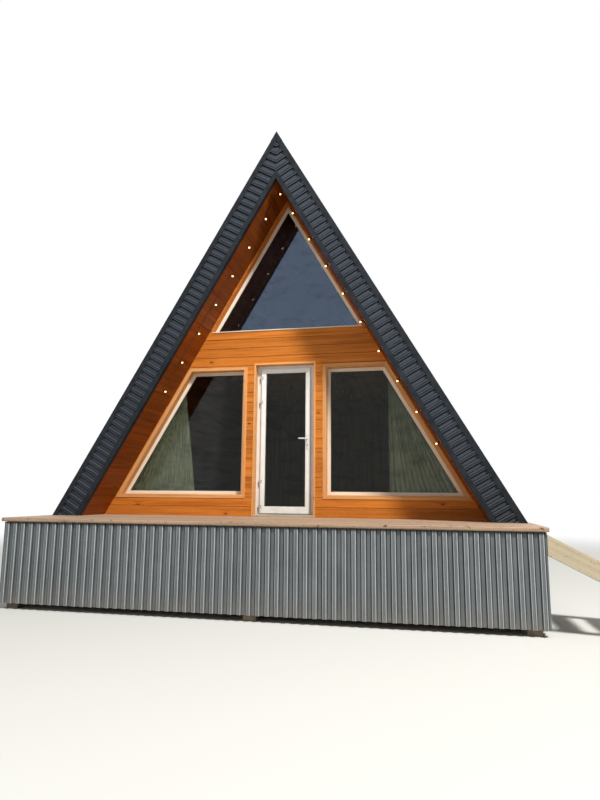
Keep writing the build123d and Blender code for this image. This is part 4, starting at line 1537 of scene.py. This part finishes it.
class CABIN_OT_stage(bpy.types.Operator):
    """Pale floor, backdrop, soft lamps and the camera"""

    bl_idname = "cabin.stage"
    bl_label = "Stage"

    def execute(self, context):
        scene = context.scene
        shape = bmesh.new()
        bmesh.ops.create_grid(shape, x_segments=1, y_segments=1, size=60)
        mesh = bpy.data.meshes.new("stage_floor")
        shape.to_mesh(mesh)
        shape.free()
        floor = bpy.data.objects.new("stage_floor", mesh)
        scene.collection.objects.link(floor)
        material, graph, inputs = new_material("stage_floor", specular=0.1)
        inputs["Base Color"].default_value = srgb(206, 206, 202)
        inputs["Roughness"].default_value = 0.9
        far = graph.node("ShaderNodeVectorMath", {0: object_vector(graph)}, operation="LENGTH")
        fade = graph.times(graph.ramp(far.outputs["Value"], 6.0, 15.0), graph.background_rays())
        white = graph.node("ShaderNodeEmission")
        blend = graph.node("ShaderNodeMixShader")
        graph.feed(blend.inputs[0], fade)
        graph.feed(blend.inputs[1], material.node_tree.nodes["Principled BSDF"].outputs[0])
        graph.feed(blend.inputs[2], white.outputs[0])
        graph.feed(material.node_tree.nodes["Material Output"].inputs["Surface"], blend.outputs[0])
        mesh.materials.append(material)

        world = bpy.data.worlds.new("studio")
        world.use_nodes = True
        scene.world = world
        graph = Graph(world.node_tree)
        background = world.node_tree.nodes["Background"]
        graph.feed(background.inputs["Color"], (1.0, 1.0, 1.0, 1.0))
        soft = scene.cabin.soft_light
        level = graph.math("MULTIPLY_ADD", graph.background_rays(), 1.0 - soft, soft)
        graph.feed(background.inputs["Strength"], level)

        for name, place, size, power, colour, mirrored in (
            ("key_lamp", (8.4, -12.2, 15.6), 2.5, 4900.0, (1.0, 0.975, 0.94), True),
            ("fill_lamp", (-9.0, -14.0, 5.0), 8.0, 300.0, (0.94, 0.97, 1.0), False),
            ("back_lamp", (-3.0, 16.0, 12.0), 8.0, 1400.0, (1.0, 1.0, 1.0), True),
        ):
            lamp = bpy.data.lights.new(name, "AREA")
            lamp.size = size
            lamp.energy = power
            lamp.color = colour
            holder = bpy.data.objects.new(name, lamp)
            holder.location = place
            holder.visible_glossy = mirrored
            aim = Vector((0, -2.0, 2.2)) - Vector(place)
            holder.rotation_euler = aim.to_track_quat("-Z", "Y").to_euler()
            scene.collection.objects.link(holder)

        # Solved from the gable's straight edges
        camera = bpy.data.objects.new("camera", bpy.data.cameras.new("camera"))
        camera.data.sensor_width = 36.0
        camera.data.lens = 26.7
        camera.data.clip_end = 200.0
        right = Vector((0.97863458, 0.20543488, 0.00841775))
        upward = Vector((0.02418007, -0.15565082, 0.98751615))
        back = Vector((0.20418049, -0.96621391, -0.15729271))
        turn = Matrix((right, upward, back)).transposed().to_4x4()
        camera.matrix_world = Matrix.Translation((1.95123579, -10.8929439, 1.39020954)) @ turn
        scene.collection.objects.link(camera)
        scene.camera = camera
        scene.view_settings.view_transform = "Standard"
        return {"FINISHED"}


class CABIN_PT_panel(bpy.types.Panel):
    """Lists the cabin's settings and operators"""

    bl_idname = "CABIN_PT_panel"
    bl_label = "A-frame cabin"
    bl_space_type = "VIEW_3D"
    bl_region_type = "UI"
    bl_category = "Cabin"

    def draw(self, context):
        settings = context.scene.cabin
        for name in CabinSettings.__annotations__:
            self.layout.prop(settings, name)
        for operator in OPERATORS:
            self.layout.operator(operator.bl_idname)


OPERATORS = (
    CABIN_OT_stage,
    CABIN_OT_finishes,
    CABIN_OT_wall_boards,
    CABIN_OT_soffit_boards,
    CABIN_OT_deck_boards,
    CABIN_OT_casings,
    CABIN_OT_windows,
    CABIN_OT_door,
    CABIN_OT_fittings,
    CABIN_OT_steel,
    CABIN_OT_stair,
    CABIN_OT_curtains,
    CABIN_OT_lights,
)


def register():
    bpy.utils.register_class(CabinSettings)
    for operator in OPERATORS:
        bpy.utils.register_class(operator)
    bpy.utils.register_class(CABIN_PT_panel)
    bpy.types.Scene.cabin = bpy.props.PointerProperty(type=CabinSettings)


def unregister():
    del bpy.types.Scene.cabin
    bpy.utils.unregister_class(CABIN_PT_panel)
    for operator in reversed(OPERATORS):
        bpy.utils.unregister_class(operator)
    bpy.utils.unregister_class(CabinSettings)


def main():
    """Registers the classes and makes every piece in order."""
    register()
    for operator in OPERATORS:
        module, name = operator.bl_idname.split(".")
        getattr(getattr(bpy.ops, module), name)()
    bpy.context.view_layer.update()


if __name__ == "__main__":
    main()
